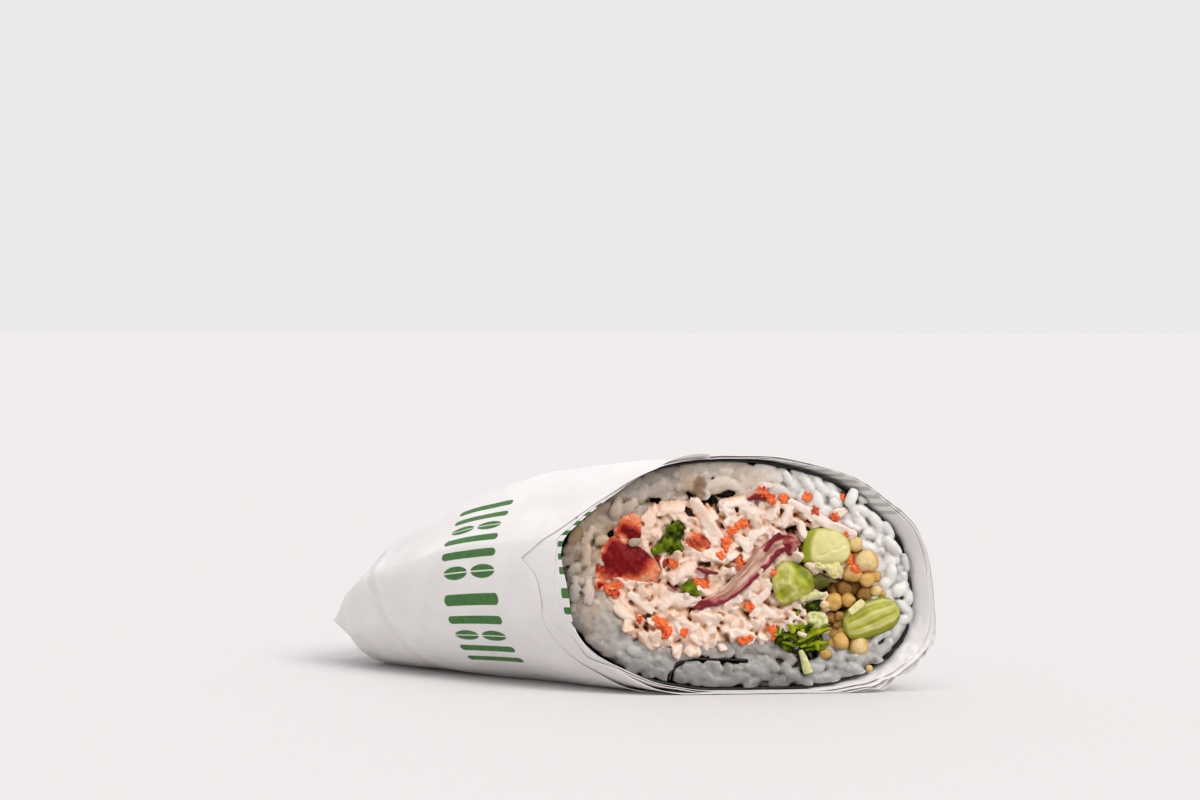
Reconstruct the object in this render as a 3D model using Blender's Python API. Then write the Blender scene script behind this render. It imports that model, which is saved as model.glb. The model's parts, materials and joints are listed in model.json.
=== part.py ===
"""Sushi burrito: one cut half of a seaweed and rice roll in its paper wrapper.

The roll lies on its side with its axis along X. The folded end of the wrapper
is at -X and the slanting cut faces +X and -Y. Sizes below are in millimetres
and become metres when a mesh is made. The origin is on the surface the roll
lies on, under the middle of its box.
"""

import math
import random

import bmesh
import bpy
from mathutils import Vector, noise

MM = 0.001

# Outline of the wrapped roll at the cut, seen along its length.
HALF_WIDTH = 31.9
HEIGHT = 58.0
AXIS_HEIGHT = 29.0
FLAT_PRESS = 1.0
UPPER_ROUND = 2.3
LOWER_ROUND = 2.8
RING_POINTS = 40

# Outline along the length: x of each station, then the height or the share of
# the full width there. X is measured from the middle of the cut.
TIP_X = -122.5
TOP_LINE = ((TIP_X, 11.4), (-119.5, 16.2), (-114.5, 22.8), (-106.0, 30.0), (-96.0, 37.2),
            (-86.0, 43.4), (-76.0, 47.6), (-66.0, 50.4), (-56.0, 52.2),
            (-31.0, 56.0), (0.0, 58.0), (60.0, 58.0))
LOW_LINE = ((TIP_X, 10.4), (-119.5, 8.2), (-114.5, 4.5), (-108.5, 0.1), (-107.0, 0.0), (60.0, 0.0))
WIDTH_LINE = ((TIP_X, 0.54), (-119.5, 0.60), (-114.5, 0.69), (-106.0, 0.81), (-96.0, 0.89),
              (-86.0, 0.94), (-76.0, 0.97), (-66.0, 0.99), (-56.0, 1.0), (60.0, 1.0))
WRAP_STATIONS = (-119.5, -114.5, -108.0, -96.0, -86.0, -72.0, -59.0, -47.0)
FOOD_STATIONS = (-96.0, -72.0, -47.0)

# The slanting cut: turned about the vertical by CUT_TURN, then tilted along
# the face by CUT_ROLL.
CUT_TURN = math.radians(46.0)
CUT_ROLL = math.radians(10.0)

# Middle of the box along X, measured from the middle of the cut.
BOX_MIDDLE_X = -42.37

# Distance of each layer from the outside of the wrapper.
PAPER_THICK = 0.3
OUTER_PAPER = 0.0
MIDDLE_PAPER = 0.52
INNER_PAPER = 1.06
SHEET_START = 1.75
SEAWEED_THICK = 0.4
CLEAR = 0.35

# How far each paper sheet stands out past the cut (+) or stops short of it (-),
# by the angle round the roll: 0 is the +Y side, 90 the top, 180 the -Y side.
OUTER_EDGE = ((0.0, 3.4), (35.0, 3.9), (70.0, 2.6), (95.0, 0.8), (122.0, 0.2),
              (135.0, -0.6), (150.0, -1.0), (157.0, -2.2), (163.0, -4.8),
              (171.0, -10.4), (176.0, -8.6), (181.0, -7.4), (190.0, -7.0),
              (196.0, -4.5), (203.0, -0.8), (212.0, 1.0), (222.0, 2.6),
              (240.0, 2.8), (270.0, 2.2), (300.0, 3.8), (330.0, 4.0), (360.0, 3.4))
MIDDLE_EDGE = ((0.0, 4.1), (35.0, 4.5), (70.0, 3.0), (95.0, 1.4), (122.0, 1.0),
               (140.0, 0.5), (157.0, -0.3), (171.0, -0.9), (180.0, -2.4),
               (189.0, -1.4), (198.0, 0.2), (210.0, 1.0), (225.0, 2.0),
               (240.0, 2.2), (270.0, 2.4), (300.0, 4.6), (330.0, 4.8), (360.0, 4.1))
INNER_EDGE = ((0.0, 3.6), (35.0, 4.1), (70.0, 2.8), (95.0, 1.8), (122.0, 2.0),
              (140.0, 1.9), (157.0, 1.2), (171.0, 0.9), (184.0, 0.4), (198.0, 0.3),
              (215.0, 0.8), (235.0, 1.4), (270.0, 1.4), (300.0, 3.2), (330.0, 3.9),
              (360.0, 3.6))

# Where the roll is pressed in from its even outline, by the same angle. The
# upper half is pressed in all its layers. The lower half is pressed inside the
# wrapper and not as deep as the filling: PRESS_SHARE gives its share by depth.
UPPER_PRESS = ((20.0, 0.0), (36.0, -0.8), (52.0, 0.0), (110.0, 0.0), (126.0, -0.4),
               (138.0, -0.9), (148.0, -0.7), (160.0, 0.0))
LOWER_PRESS = ((208.0, 0.0), (225.0, -0.6), (240.0, -1.0), (255.0, -0.9), (275.0, -0.8),
               (292.0, -0.9), (312.0, -0.5), (330.0, -0.2), (345.0, 0.0))
PRESS_SHARE = ((0.0, 0.0), (1.0, 1.0), (3.0, 1.0), (7.5, 0.0))

# Thickness of the rice, by the same angle, and where its inner end lies.
RICE_DEPTH = ((-65.0, 9.7), (-40.0, 8.9), (-15.0, 8.0), (15.0, 8.0), (45.0, 7.8),
              (75.0, 8.2), (105.0, 8.4), (140.0, 8.6), (180.0, 8.6), (215.0, 9.8))
TAIL_PATH = ((-17.6, 5.3), (-15.5, 7.0), (-13.4, 8.3), (-10.0, 8.4), (-4.0, 8.0), (2.5, 7.7))
SHEET_FROM = 252.0
SHEET_TO = 595.0

GRAIN_LONG = (5.2, 6.8)
GRAIN_WIDE = (2.5, 3.0)
GRAIN_SPACE = 3.1
GRAIN_COUNT = 92
SHRED_LONG = (5.0, 9.0)
SHRED_COUNT = 42
MASAGO_SPOTS = ((11.1, 18.7, 1.2), (18.4, 18.6, 1.0), (24.0, 14.1, 1.2), (0.7, 10.3, 2.0),
                (-2.9, 6.5, 1.2), (-0.5, 4.2, 1.2), (-18.9, -12.3, 1.9), (1.6, -8.6, 1.4),
                (0.9, -17.2, 1.5), (-9.9, -1.6, 1.2), (-28.6, -5.6, 1.8), (5.9, 22.3, 1.3))
PEARLS = ((32.0, 3.1, 2.7), (28.1, 0.4, 2.3), (31.6, -2.5, 2.1), (29.3, 6.9, 1.8),
          (26.6, -3.4, 2.1), (27.0, -6.8, 1.9), (23.4, -7.0, 2.0), (24.6, -10.8, 2.1),
          (22.9, -14.6, 2.0), (25.6, -17.1, 1.9), (29.4, -18.0, 2.4), (21.6, -18.6, 1.9),
          (34.2, -4.0, 1.8), (30.6, -5.6, 1.7))


def smooth_line(table, x):
    """Value at x on a smooth curve through the points of a table."""
    count = len(table)
    if x <= table[0][0]:
        return table[0][1]
    if x >= table[-1][0]:
        return table[-1][1]
    place = 0
    while place < count - 2 and x > table[place + 1][0]:
        place += 1

    def slope(k):
        if k == 0 or k == count - 1:
            a, b = (0, 1) if k == 0 else (count - 2, count - 1)
            return (table[b][1] - table[a][1]) / (table[b][0] - table[a][0])
        left = (table[k][1] - table[k - 1][1]) / (table[k][0] - table[k - 1][0])
        right = (table[k + 1][1] - table[k][1]) / (table[k + 1][0] - table[k][0])
        if left * right <= 0.0:
            return 0.0
        return 2.0 * left * right / (left + right)

    x0, y0 = table[place]
    x1, y1 = table[place + 1]
    span = x1 - x0
    t = (x - x0) / span
    h00 = (1.0 + 2.0 * t) * (1.0 - t) ** 2
    h10 = t * (1.0 - t) ** 2
    h01 = t * t * (3.0 - 2.0 * t)
    h11 = t * t * (t - 1.0)
    return h00 * y0 + h10 * span * slope(place) + h01 * y1 + h11 * span * slope(place + 1)


def outline(angle, inset, x):
    """Y and Z of the roll's outline at station x, moved in from the outside."""
    top = smooth_line(TOP_LINE, x) - inset
    low = smooth_line(LOW_LINE, x) + inset
    middle = 0.5 * (top + low)
    half = 0.5 * (top - low)
    side = math.cos(angle)
    rise = math.sin(angle)
    power = 2.0 / (UPPER_ROUND if rise >= 0.0 else LOWER_ROUND)
    reach = half if rise >= 0.0 else half * (1.0 + FLAT_PRESS / AXIS_HEIGHT)
    y = math.copysign(abs(side) ** power, side)
    y *= HALF_WIDTH * smooth_line(WIDTH_LINE, x) - inset
    z = middle + math.copysign(abs(rise) ** power, rise) * reach
    degrees = math.degrees(angle) % 360.0
    press = smooth_line(UPPER_PRESS, degrees)
    if degrees > 180.0:
        press = smooth_line(LOWER_PRESS, degrees) * smooth_line(PRESS_SHARE, inset)
    y += side * press
    z += rise * press
    return y, max(z, low)


def cut_x(y, z):
    """X of the cut's plane at a point of the cross-section."""
    across = y * math.cos(CUT_ROLL) - (z - AXIS_HEIGHT) * math.sin(CUT_ROLL)
    return math.tan(CUT_TURN) * across


def squeeze(y, z, x):
    """Moves a point of the layers' section at the cut to station x."""
    wide = (HALF_WIDTH * smooth_line(WIDTH_LINE, x) - SHEET_START) / (HALF_WIDTH - SHEET_START)
    top = smooth_line(TOP_LINE, x)
    low = smooth_line(LOW_LINE, x)
    tall = (top - low - 2.0 * SHEET_START) / (HEIGHT - 2.0 * SHEET_START)
    return y * wide, low + SHEET_START + (z - SHEET_START) * tall


def at_cut(y, z, stand=0.0):
    """Point of the layers' section carried along the roll to the cut."""
    x = cut_x(y, z)
    for _ in range(6):
        moved = squeeze(y, z, x)
        x = cut_x(*moved) + stand
    moved = squeeze(y, z, x)
    return Vector((x, moved[0], moved[1]))


# The frame of the cut face: U runs to the right along the face, V up it and W
# out of it.
FACE_OUT = Vector((1.0, -math.tan(CUT_TURN) * math.cos(CUT_ROLL),
                   math.tan(CUT_TURN) * math.sin(CUT_ROLL))).normalized()
FACE_RIGHT = Vector((0.0, 0.0, 1.0)).cross(FACE_OUT).normalized()
FACE_UP = FACE_OUT.cross(FACE_RIGHT).normalized()
FACE_MIDDLE = Vector((0.0, 0.0, AXIS_HEIGHT))


def on_face(u, v, w=0.0):
    """Point given by its place on the cut face."""
    return FACE_MIDDLE + FACE_RIGHT * u + FACE_UP * v + FACE_OUT * w


def behind_face(u, v, depth):
    """Point behind a place on the cut face, further along the roll."""
    return FACE_MIDDLE + FACE_RIGHT * u + FACE_UP * v - Vector((depth, 0.0, 0.0))


def section_of(u, v):
    """The layers' section point that lies at a place on the cut face."""
    point = on_face(u, v)
    y, z = point.y, point.z
    for _ in range(4):
        moved = squeeze(y, z, point.x)
        y += point.y - moved[0]
        z += point.z - moved[1]
    return y, z


# Meshes.

def surface(name, colour, rough, coat=0.0):
    """A plain material for one sub-part."""
    material = bpy.data.materials.new(name)
    material.use_nodes = True
    shader = material.node_tree.nodes["Principled BSDF"]
    shader.inputs["Base Color"].default_value = (*colour, 1.0)
    shader.inputs["Roughness"].default_value = rough
    shader.inputs["Metallic"].default_value = 0.0
    shader.inputs["Coat Weight"].default_value = coat
    material.diffuse_color = (*colour, 1.0)
    return material


def make_object(name, points, faces, material):
    """A closed mesh from points in millimetres, faces turned outward."""
    mesh = bpy.data.meshes.new(name)
    shift = Vector((BOX_MIDDLE_X, 0.0, 0.0))
    mesh.from_pydata([(Vector(p) - shift) * MM for p in points], [], faces)
    work = bmesh.new()
    work.from_mesh(mesh)
    bmesh.ops.triangulate(work, faces=[f for f in work.faces if len(f.verts) > 4])
    bmesh.ops.recalc_face_normals(work, faces=work.faces)
    if work.calc_volume(signed=True) < 0.0:
        bmesh.ops.reverse_faces(work, faces=work.faces)
    work.to_mesh(mesh)
    work.free()
    mesh.shade_smooth()
    mesh.set_sharp_from_angle(angle=math.radians(40.0))
    made = bpy.data.objects.new(name, mesh)
    bpy.context.scene.collection.objects.link(made)
    if material is not None:
        mesh.materials.append(material)
    return made


def loft(rings):
    """Points and faces of a body through rings of equal length, both ends shut."""
    count = len(rings[0])
    points = [p for ring in rings for p in ring]
    faces = []
    for k in range(len(rings) - 1):
        a = k * count
        for i in range(count):
            j = (i + 1) % count
            faces.append((a + i, a + j, a + count + j, a + count + i))
    faces.append(tuple(range(count - 1, -1, -1)))
    faces.append(tuple((len(rings) - 1) * count + i for i in range(count)))
    return points, faces


def wall(outer_rings, inner_rings, shut_far_end):
    """Points and faces of a thin wall between two lofts, open at the cut."""
    count = len(outer_rings[0])
    points = [p for ring in outer_rings for p in ring]
    base = len(points)
    points += [p for ring in inner_rings for p in ring]
    faces = []
    for k in range(len(outer_rings) - 1):
        a = k * count
        for i in range(count):
            j = (i + 1) % count
            faces.append((a + i, a + j, a + count + j, a + count + i))
    for k in range(len(inner_rings) - 1):
        a = base + k * count
        for i in range(count):
            j = (i + 1) % count
            faces.append((a + j, a + i, a + count + i, a + count + j))
    a = (len(outer_rings) - 1) * count
    b = base + (len(inner_rings) - 1) * count
    for i in range(count):
        j = (i + 1) % count
        faces.append((a + i, a + j, b + j, b + i))
    if shut_far_end:
        faces.append(tuple(range(count - 1, -1, -1)))
        faces.append(tuple(base + i for i in range(count)))
    else:
        for i in range(count):
            j = (i + 1) % count
            faces.append((j, i, base + i, base + j))
    return points, faces


def wrap_rings(inset, stations, shares, edge):
    """Rings of a paper surface, ending at its edge round the cut."""
    rings = []
    angles = [math.tau * i / RING_POINTS for i in range(RING_POINTS)]
    for x in stations:
        rings.append([Vector((x, *outline(a, inset, x))) for a in angles])
    last = stations[-1]
    ends = []
    for a in angles:
        past = smooth_line(edge, math.degrees(a))
        x = 0.0
        for _ in range(8):
            x = cut_x(*outline(a, inset, x)) + past
        ends.append(x)
    for share in shares:
        ring = []
        for a, end in zip(angles, ends):
            x = last + (end - last) * share
            ring.append(Vector((x, *outline(a, inset, x))))
        rings.append(ring)
    return rings


def paper_sheet(name, inset, edge, stations, shares, shut, material):
    """One turn of the paper wrapper."""
    inside = inset + PAPER_THICK
    outer = wrap_rings(inset, stations, shares, edge)
    if shut:
        outer.insert(0, [Vector((TIP_X, *outline(math.tau * i / RING_POINTS, inset, TIP_X)))
                         for i in range(RING_POINTS)])
    inner = wrap_rings(inside, stations, shares, edge)
    return make_object(name, *wall(outer, inner, shut), material)


# The seaweed and rice sheet.

def sheet_path():
    """Middle line of the seaweed: round the roll, then in under the filling."""
    path = []
    middle = SHEET_START + 0.5 * SEAWEED_THICK
    steps = 40
    for k in range(steps + 1):
        angle = math.radians(SHEET_FROM + (SHEET_TO - SHEET_FROM) * k / steps)
        path.append(Vector(outline(angle, middle, 0.0)))
    path += [Vector(p) for p in TAIL_PATH]
    return path


def beside(path, distance):
    """The path moved to its left by a distance."""
    moved = []
    for k, point in enumerate(path):
        before = path[max(k - 1, 0)]
        after = path[min(k + 1, len(path) - 1)]
        run = (after - before).normalized()
        moved.append(point + Vector((-run.y, run.x)) * distance)
    return moved


def rice_ring(extra, steps):
    """Inner edge of the rice, from the near bottom over the top to the far bottom."""
    ring = []
    for k in range(steps + 1):
        degrees = 215.0 - 280.0 * k / steps
        depth = smooth_line(RICE_DEPTH, degrees) + extra
        ring.append(Vector(outline(math.radians(degrees), depth, 0.0)))
    return ring


def rice_outline():
    """Closed outline of the rice in the section."""
    path = sheet_path()
    gap = 0.5 * SEAWEED_THICK + CLEAR
    outer = beside(path, gap)[1:]
    tail = beside(path, -gap)[-4:]
    end = [Vector((3.0, 12.9)), Vector((-4.0, 13.1)), Vector((-11.0, 13.6)), Vector((-17.0, 15.6))]
    turn = [Vector((4.5, 9.2)), Vector((4.1, 7.2))]
    start = [Vector((-12.3, 4.7))]
    return outer + end + rice_ring(0.0, 28) + turn + tail[::-1] + start


def core_outline():
    """Closed outline of the filling in the section."""
    low = [Vector((3.7, 13.4)), Vector((-4.0, 13.6)), Vector((-11.0, 14.1)), Vector((-16.6, 16.0))]
    return low + rice_ring(0.45, 28) + [Vector((9.0, 10.3)), Vector((4.9, 10.0))]


def layer_body(name, section, material):
    """A layer that runs along the roll from the cut towards the folded end."""
    rings = []
    for x in FOOD_STATIONS:
        rings.append([Vector((x, *squeeze(p.x, p.y, x))) for p in section])
    rings.append([at_cut(p.x, p.y) for p in section])
    return make_object(name, *loft(rings), material)


def inside(section, y, z):
    """Whether a section point lies inside a closed outline."""
    hit = False
    count = len(section)
    for i in range(count):
        a = section[i]
        b = section[(i + 1) % count]
        if (a.y > z) != (b.y > z):
            if y < (b.x - a.x) * (z - a.y) / (b.y - a.y) + a.x:
                hit = not hit
    return hit


def margin(section, y, z):
    """Distance of a section point from an outline."""
    best = 1e9
    spot = Vector((y, z))
    count = len(section)
    for i in range(count):
        a = section[i]
        edge = section[(i + 1) % count] - a
        t = max(0.0, min(1.0, (spot - a).dot(edge) / max(edge.length_squared, 1e-9)))
        best = min(best, (a + edge * t - spot).length)
    return best


def fits(section, u, v, reach, room):
    """Whether a disc on the face keeps inside an outline with some room."""
    y, z = section_of(u, v)
    return inside(section, y, z) and margin(section, y, z) > reach + room


# Fused pieces.

def spindle(centre, along, across, out, sizes, sides=6):
    """A grain: two rings of points between two blunt tips."""
    length, width, thick = sizes
    points = [centre - along * length * 0.5]
    for share in (-0.25, 0.25):
        for i in range(sides):
            turn = math.tau * i / sides
            points.append(centre + along * length * share
                          + across * math.cos(turn) * width * 0.5
                          + out * math.sin(turn) * thick * 0.5)
    points.append(centre + along * length * 0.5)
    faces = []
    last = len(points) - 1
    for i in range(sides):
        j = (i + 1) % sides
        faces.append((0, 1 + j, 1 + i))
        faces.append((1 + i, 1 + j, 1 + sides + j, 1 + sides + i))
        faces.append((1 + sides + i, 1 + sides + j, last))
    return points, faces


def strip(centre, along, across, out, sizes):
    """A shred: a short bent strip with blunt ends."""
    length, width, thick = sizes
    points = []
    for share, lift in ((-0.5, -0.3), (0.0, 0.25), (0.5, -0.3)):
        taper = 0.75 if share else 1.0
        for a, b in ((-1, -1), (1, -1), (1, 1), (-1, 1)):
            points.append(centre + along * length * share + out * lift * thick
                          + across * a * width * 0.5 * taper + out * b * thick * 0.5)
    faces = [(3, 2, 1, 0), (8, 9, 10, 11)]
    for k in (0, 4):
        for i in range(4):
            j = (i + 1) % 4
            faces.append((k + i, k + j, k + 4 + j, k + 4 + i))
    return points, faces


def ball(centre, axes, sizes, detail=2, lump=0.0, seed=0, grooves=()):
    """A lumpy ball with its own axes and half sizes, grooved along its first axis."""
    work = bmesh.new()
    bmesh.ops.create_icosphere(work, subdivisions=detail, radius=1.0)
    points = []
    for vert in work.verts:
        p = vert.co.copy()
        swell = 1.0 + lump * noise.noise(p * 1.7 + Vector((seed * 3.1, seed * 1.7, 0.4)))
        for line in grooves:
            swell -= 0.10 * math.exp(-((p.y - line) / 0.13) ** 2) * max(p.z, 0.0)
        points.append(centre + (axes[0] * p.x * sizes[0] + axes[1] * p.y * sizes[1]
                                + axes[2] * p.z * sizes[2]) * swell)
    faces = [tuple(v.index for v in f.verts) for f in work.faces]
    work.free()
    return points, faces


def slab(shape, front, back, shrink=0.9, dome=0.6):
    """A piece with a drawn outline on the face and a depth into the roll."""
    count = len(shape)
    centre = Vector((sum(p[0] for p in shape) / count, sum(p[1] for p in shape) / count))
    rings = []
    for share, depth in ((shrink, back), (1.0, back * 0.6)):
        rings.append([behind_face(centre.x + (p[0] - centre.x) * share,
                                  centre.y + (p[1] - centre.y) * share, depth) for p in shape])
    for share, level in ((1.0, front - 0.7), (shrink, front)):
        rings.append([on_face(centre.x + (p[0] - centre.x) * share,
                              centre.y + (p[1] - centre.y) * share, level) for p in shape])
    points, faces = loft(rings)
    faces.pop()
    tip = len(points)
    points.append(on_face(centre.x, centre.y, front + dome))
    base = 3 * count
    for i in range(count):
        faces.append((base + i, base + (i + 1) % count, tip))
    return points, faces


def keep_main_body(made):
    """Drops loose scraps and fills hollows that fusing has sealed."""
    work = bmesh.new()
    work.from_mesh(made.data)
    bmesh.ops.dissolve_limit(work, angle_limit=math.radians(1.0), verts=work.verts,
                             edges=work.edges)
    bmesh.ops.triangulate(work, faces=work.faces)
    left = set(work.faces)
    bodies = []
    while left:
        queue = [left.pop()]
        body = list(queue)
        while queue:
            face = queue.pop()
            for edge in face.edges:
                for other in edge.link_faces:
                    if other in left:
                        left.remove(other)
                        queue.append(other)
                        body.append(other)
        size = 0.0
        for face in body:
            a, b, c = (v.co for v in face.verts)
            size += a.dot(b.cross(c)) / 6.0
        bodies.append((size, body))
    bodies.sort(key=lambda item: item[0])
    for size, body in bodies[:-1]:
        bmesh.ops.delete(work, geom=body, context="FACES")
    loose = [v for v in work.verts if not v.link_faces]
    bmesh.ops.delete(work, geom=loose, context="VERTS")
    work.to_mesh(made.data)
    work.free()


def bake(made):
    """Applies the modifiers of an object."""
    graph = bpy.context.evaluated_depsgraph_get()
    mesh = bpy.data.meshes.new_from_object(made.evaluated_get(graph))
    made.modifiers.clear()
    made.data = mesh


def fuse(made, shapes, solver="MANIFOLD"):
    """Joins small closed shapes to a body by one Boolean union."""
    group = bpy.data.collections.new(made.name + "_pieces")
    bpy.context.scene.collection.children.link(group)
    for number, shape in enumerate(shapes):
        piece = make_object(made.name + "_piece_%03d" % number, shape[0], shape[1], None)
        bpy.context.scene.collection.objects.unlink(piece)
        group.objects.link(piece)
    joint = made.modifiers.new("join", "BOOLEAN")
    joint.operation = "UNION"
    joint.operand_type = "COLLECTION"
    joint.collection = group
    joint.solver = solver
    bake(made)
    for piece in list(group.objects):
        bpy.data.objects.remove(piece, do_unlink=True)
    bpy.data.collections.remove(group)
    keep_main_body(made)


def carve(made, others, solver="MANIFOLD"):
    """Cuts room for other pieces out of a body, a little larger and open in front."""
    group = bpy.data.collections.new(made.name + "_room")
    bpy.context.scene.collection.children.link(group)
    for other in others:
        mesh = bpy.data.meshes.new(other.name + "_room")
        work = bmesh.new()
        for vert in other.data.vertices:
            work.verts.new(vert.co / MM)
            work.verts.new(vert.co / MM + FACE_OUT * 3.0)
        hull = bmesh.ops.convex_hull(work, input=work.verts)
        inner = {item for item in hull["geom_interior"] if isinstance(item, bmesh.types.BMVert)}
        bmesh.ops.delete(work, geom=list(inner), context="VERTS")
        bmesh.ops.recalc_face_normals(work, faces=work.faces)
        if work.calc_volume(signed=True) < 0.0:
            bmesh.ops.reverse_faces(work, faces=work.faces)
        work.normal_update()
        moved = [(v, (v.co + v.normal * (CLEAR + 0.15)) * MM) for v in work.verts]
        for vert, place in moved:
            vert.co = place
        work.to_mesh(mesh)
        work.free()
        grown = bpy.data.objects.new(other.name + "_room", mesh)
        group.objects.link(grown)
    cut = made.modifiers.new("room", "BOOLEAN")
    cut.operation = "DIFFERENCE"
    cut.operand_type = "COLLECTION"
    cut.collection = group
    cut.solver = solver
    bake(made)
    for grown in list(group.objects):
        bpy.data.objects.remove(grown, do_unlink=True)
    bpy.data.collections.remove(group)
    keep_main_body(made)


def face_axes(turn):
    """Directions along and across a piece that lies on the face."""
    along = FACE_RIGHT * math.cos(turn) + FACE_UP * math.sin(turn)
    across = FACE_UP * math.cos(turn) - FACE_RIGHT * math.sin(turn)
    return along, across


def scatter(section, count, spacing, lengths, widths, seed, avoid=()):
    """Evenly spread places for grains or shreds that keep inside an outline."""
    draw = random.Random(seed)
    placed = []
    for _ in range(count * 60):
        if len(placed) == count:
            break
        u = draw.uniform(-44.0, 45.0)
        v = draw.uniform(-28.0, 29.0)
        if any((u - q[0]) ** 2 + (v - q[1]) ** 2 < spacing ** 2 for q in placed):
            continue
        if any((u - q[0]) ** 2 + (v - q[1]) ** 2 < q[2] ** 2 for q in avoid):
            continue
        length = draw.uniform(*lengths)
        width = draw.uniform(*widths)
        turn = draw.uniform(0.0, math.pi)
        for step in range(8):
            angle = turn + step * math.pi / 8.0
            reach = (length - width) * 0.5
            good = True
            for share in (-1.0, -0.4, 0.4, 1.0):
                du = math.cos(angle) * reach * share
                dv = math.sin(angle) * reach * share
                if not fits(section, u + du, v + dv, width * 0.5, 0.25):
                    good = False
                    break
            if good:
                placed.append((u, v, angle, length, width))
                break
    return placed


def clear_scene():
    """Empties the scene."""
    for old in list(bpy.data.objects):
        bpy.data.objects.remove(old, do_unlink=True)


def build_wrapper():
    """Three turns of paper, each with its own edge round the cut."""
    paper = surface("paper", (0.80, 0.79, 0.78), 0.62)
    printed = surface("printed_paper", (0.72, 0.76, 0.72), 0.62)
    shares = (0.33, 0.67, 1.0)
    paper_sheet("paper_outer", OUTER_PAPER, OUTER_EDGE, WRAP_STATIONS, shares, True, paper)
    paper_sheet("paper_middle", MIDDLE_PAPER, MIDDLE_EDGE, FOOD_STATIONS, (0.5, 1.0), False, paper)
    paper_sheet("paper_inner", INNER_PAPER, INNER_EDGE, FOOD_STATIONS, (0.5, 1.0), False, printed)


def build_seaweed():
    """The seaweed sheet, one closed strip rolled into a spiral."""
    path = sheet_path()
    half = 0.5 * SEAWEED_THICK
    section = beside(path, -half) + beside(path, half)[::-1]
    return layer_body("seaweed_sheet", section, surface("seaweed", (0.012, 0.014, 0.010), 0.45))


def build_face_pieces():
    """The pieces that show whole or cut on the face of the filling."""
    tuna = surface("tuna", (0.36, 0.02, 0.025), 0.35, 0.3)
    onion = surface("red_onion", (0.52, 0.30, 0.25), 0.40)
    leaf = surface("herb", (0.10, 0.20, 0.02), 0.50)
    bean = surface("edamame", (0.38, 0.45, 0.06), 0.42)
    dark_bean = surface("edamame_dark", (0.13, 0.22, 0.01), 0.35)
    pale = surface("pale_green", (0.55, 0.60, 0.33), 0.45)
    made = {}

    def add(name, shape, material):
        made[name] = make_object(name, shape[0], shape[1], material)

    add("tuna_chunk_large", slab((
        (-25.2, 15.2), (-28.2, 12.8), (-30.4, 9.6), (-32.4, 7.2), (-34.7, 2.7), (-35.4, -1.0),
        (-34.2, -3.4), (-30.3, -3.2), (-27.4, -1.6), (-24.6, -0.8), (-21.5, -1.2),
        (-19.8, 1.0), (-20.8, 3.8), (-22.6, 6.6), (-24.2, 10.2), (-23.8, 13.0)), 1.6, 16.0), tuna)
    add("tuna_chunk_small", ball(on_face(-10.3, 8.4, -1.0), (FACE_RIGHT, FACE_UP, FACE_OUT),
                                 (3.0, 2.6, 3.2), 2, 0.35, 4), tuna)
    add("red_onion_long", slab((
        (-11.6, -8.3), (-7.0, -4.7), (-1.3, -2.0), (2.5, 1.2), (6.0, 5.2), (9.5, 9.0), (13.4, 9.6),
        (14.4, 7.2), (9.0, 2.4), (6.2, -0.8), (2.4, -3.8), (-1.4, -6.6), (-6.8, -8.3)),
        -0.2, 9.0, 0.88, 0.4), onion)
    add("red_onion_top", slab((
        (2.9, 19.6), (5.4, 20.9), (8.2, 20.0), (8.1, 17.5), (5.8, 18.2), (3.4, 17.9)),
        0.5, 6.0, 0.85, 0.3), onion)
    add("red_onion_thin", slab((
        (-10.4, 2.6), (-8.0, 1.6), (-5.2, 1.3), (-6.4, -0.1), (-8.6, 0.3)), 0.4, 4.0, 0.8, 0.2), onion)
    add("edamame_cut", slab((
        (15.9, 6.3), (17.2, 9.8), (20.8, 11.2), (24.8, 10.5), (27.3, 8.1), (27.2, 5.2),
        (26.0, 2.9), (24.4, 2.2), (22.1, 1.2), (18.1, 1.8), (16.0, 3.3)), 1.6, 8.0, 0.82, 0.7), bean)
    slant, lean = face_axes(math.radians(-28.0))
    add("edamame_crinkled", ball(on_face(13.0, -2.6, -1.2), (slant, lean, FACE_OUT),
                                 (5.4, 4.4, 4.2), 2, 0.30, 7), bean)
    add("edamame_dark", ball(on_face(20.7, -2.0, -3.2), (slant, lean, FACE_OUT),
                             (2.7, 2.3, 2.6), 2, 0.0, 1), dark_bean)
    slant, lean = face_axes(math.radians(22.0))
    add("edamame_striped", ball(on_face(32.2, -11.2, 0.4), (slant, lean, FACE_OUT),
                                (7.1, 4.7, 4.1), 3, 0.03, 9, (0.30, -0.22)), bean)
    slant, lean = face_axes(math.radians(20.0))
    add("pale_green_slice", ball(on_face(19.0, -10.9, -1.6), (slant, lean, FACE_OUT),
                                 (2.5, 2.2, 2.0), 2, 0.2, 3), pale)
    add("pale_stem", spindle(on_face(16.3, -22.8, 0.4), *face_axes(math.radians(-72.0)), FACE_OUT,
                             (8.6, 2.9, 2.6), 8), pale)
    made["herb_leaf_upper"] = build_leaf("herb_leaf_upper", leaf, (-17.6, 8.9), 62.0, 10.2, 6.6, 1.9)
    made["herb_leaf_lower"] = build_leaf("herb_leaf_lower", leaf, (-12.7, -4.6), 20.0, 5.6, 4.2, 1.4)
    return made


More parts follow.
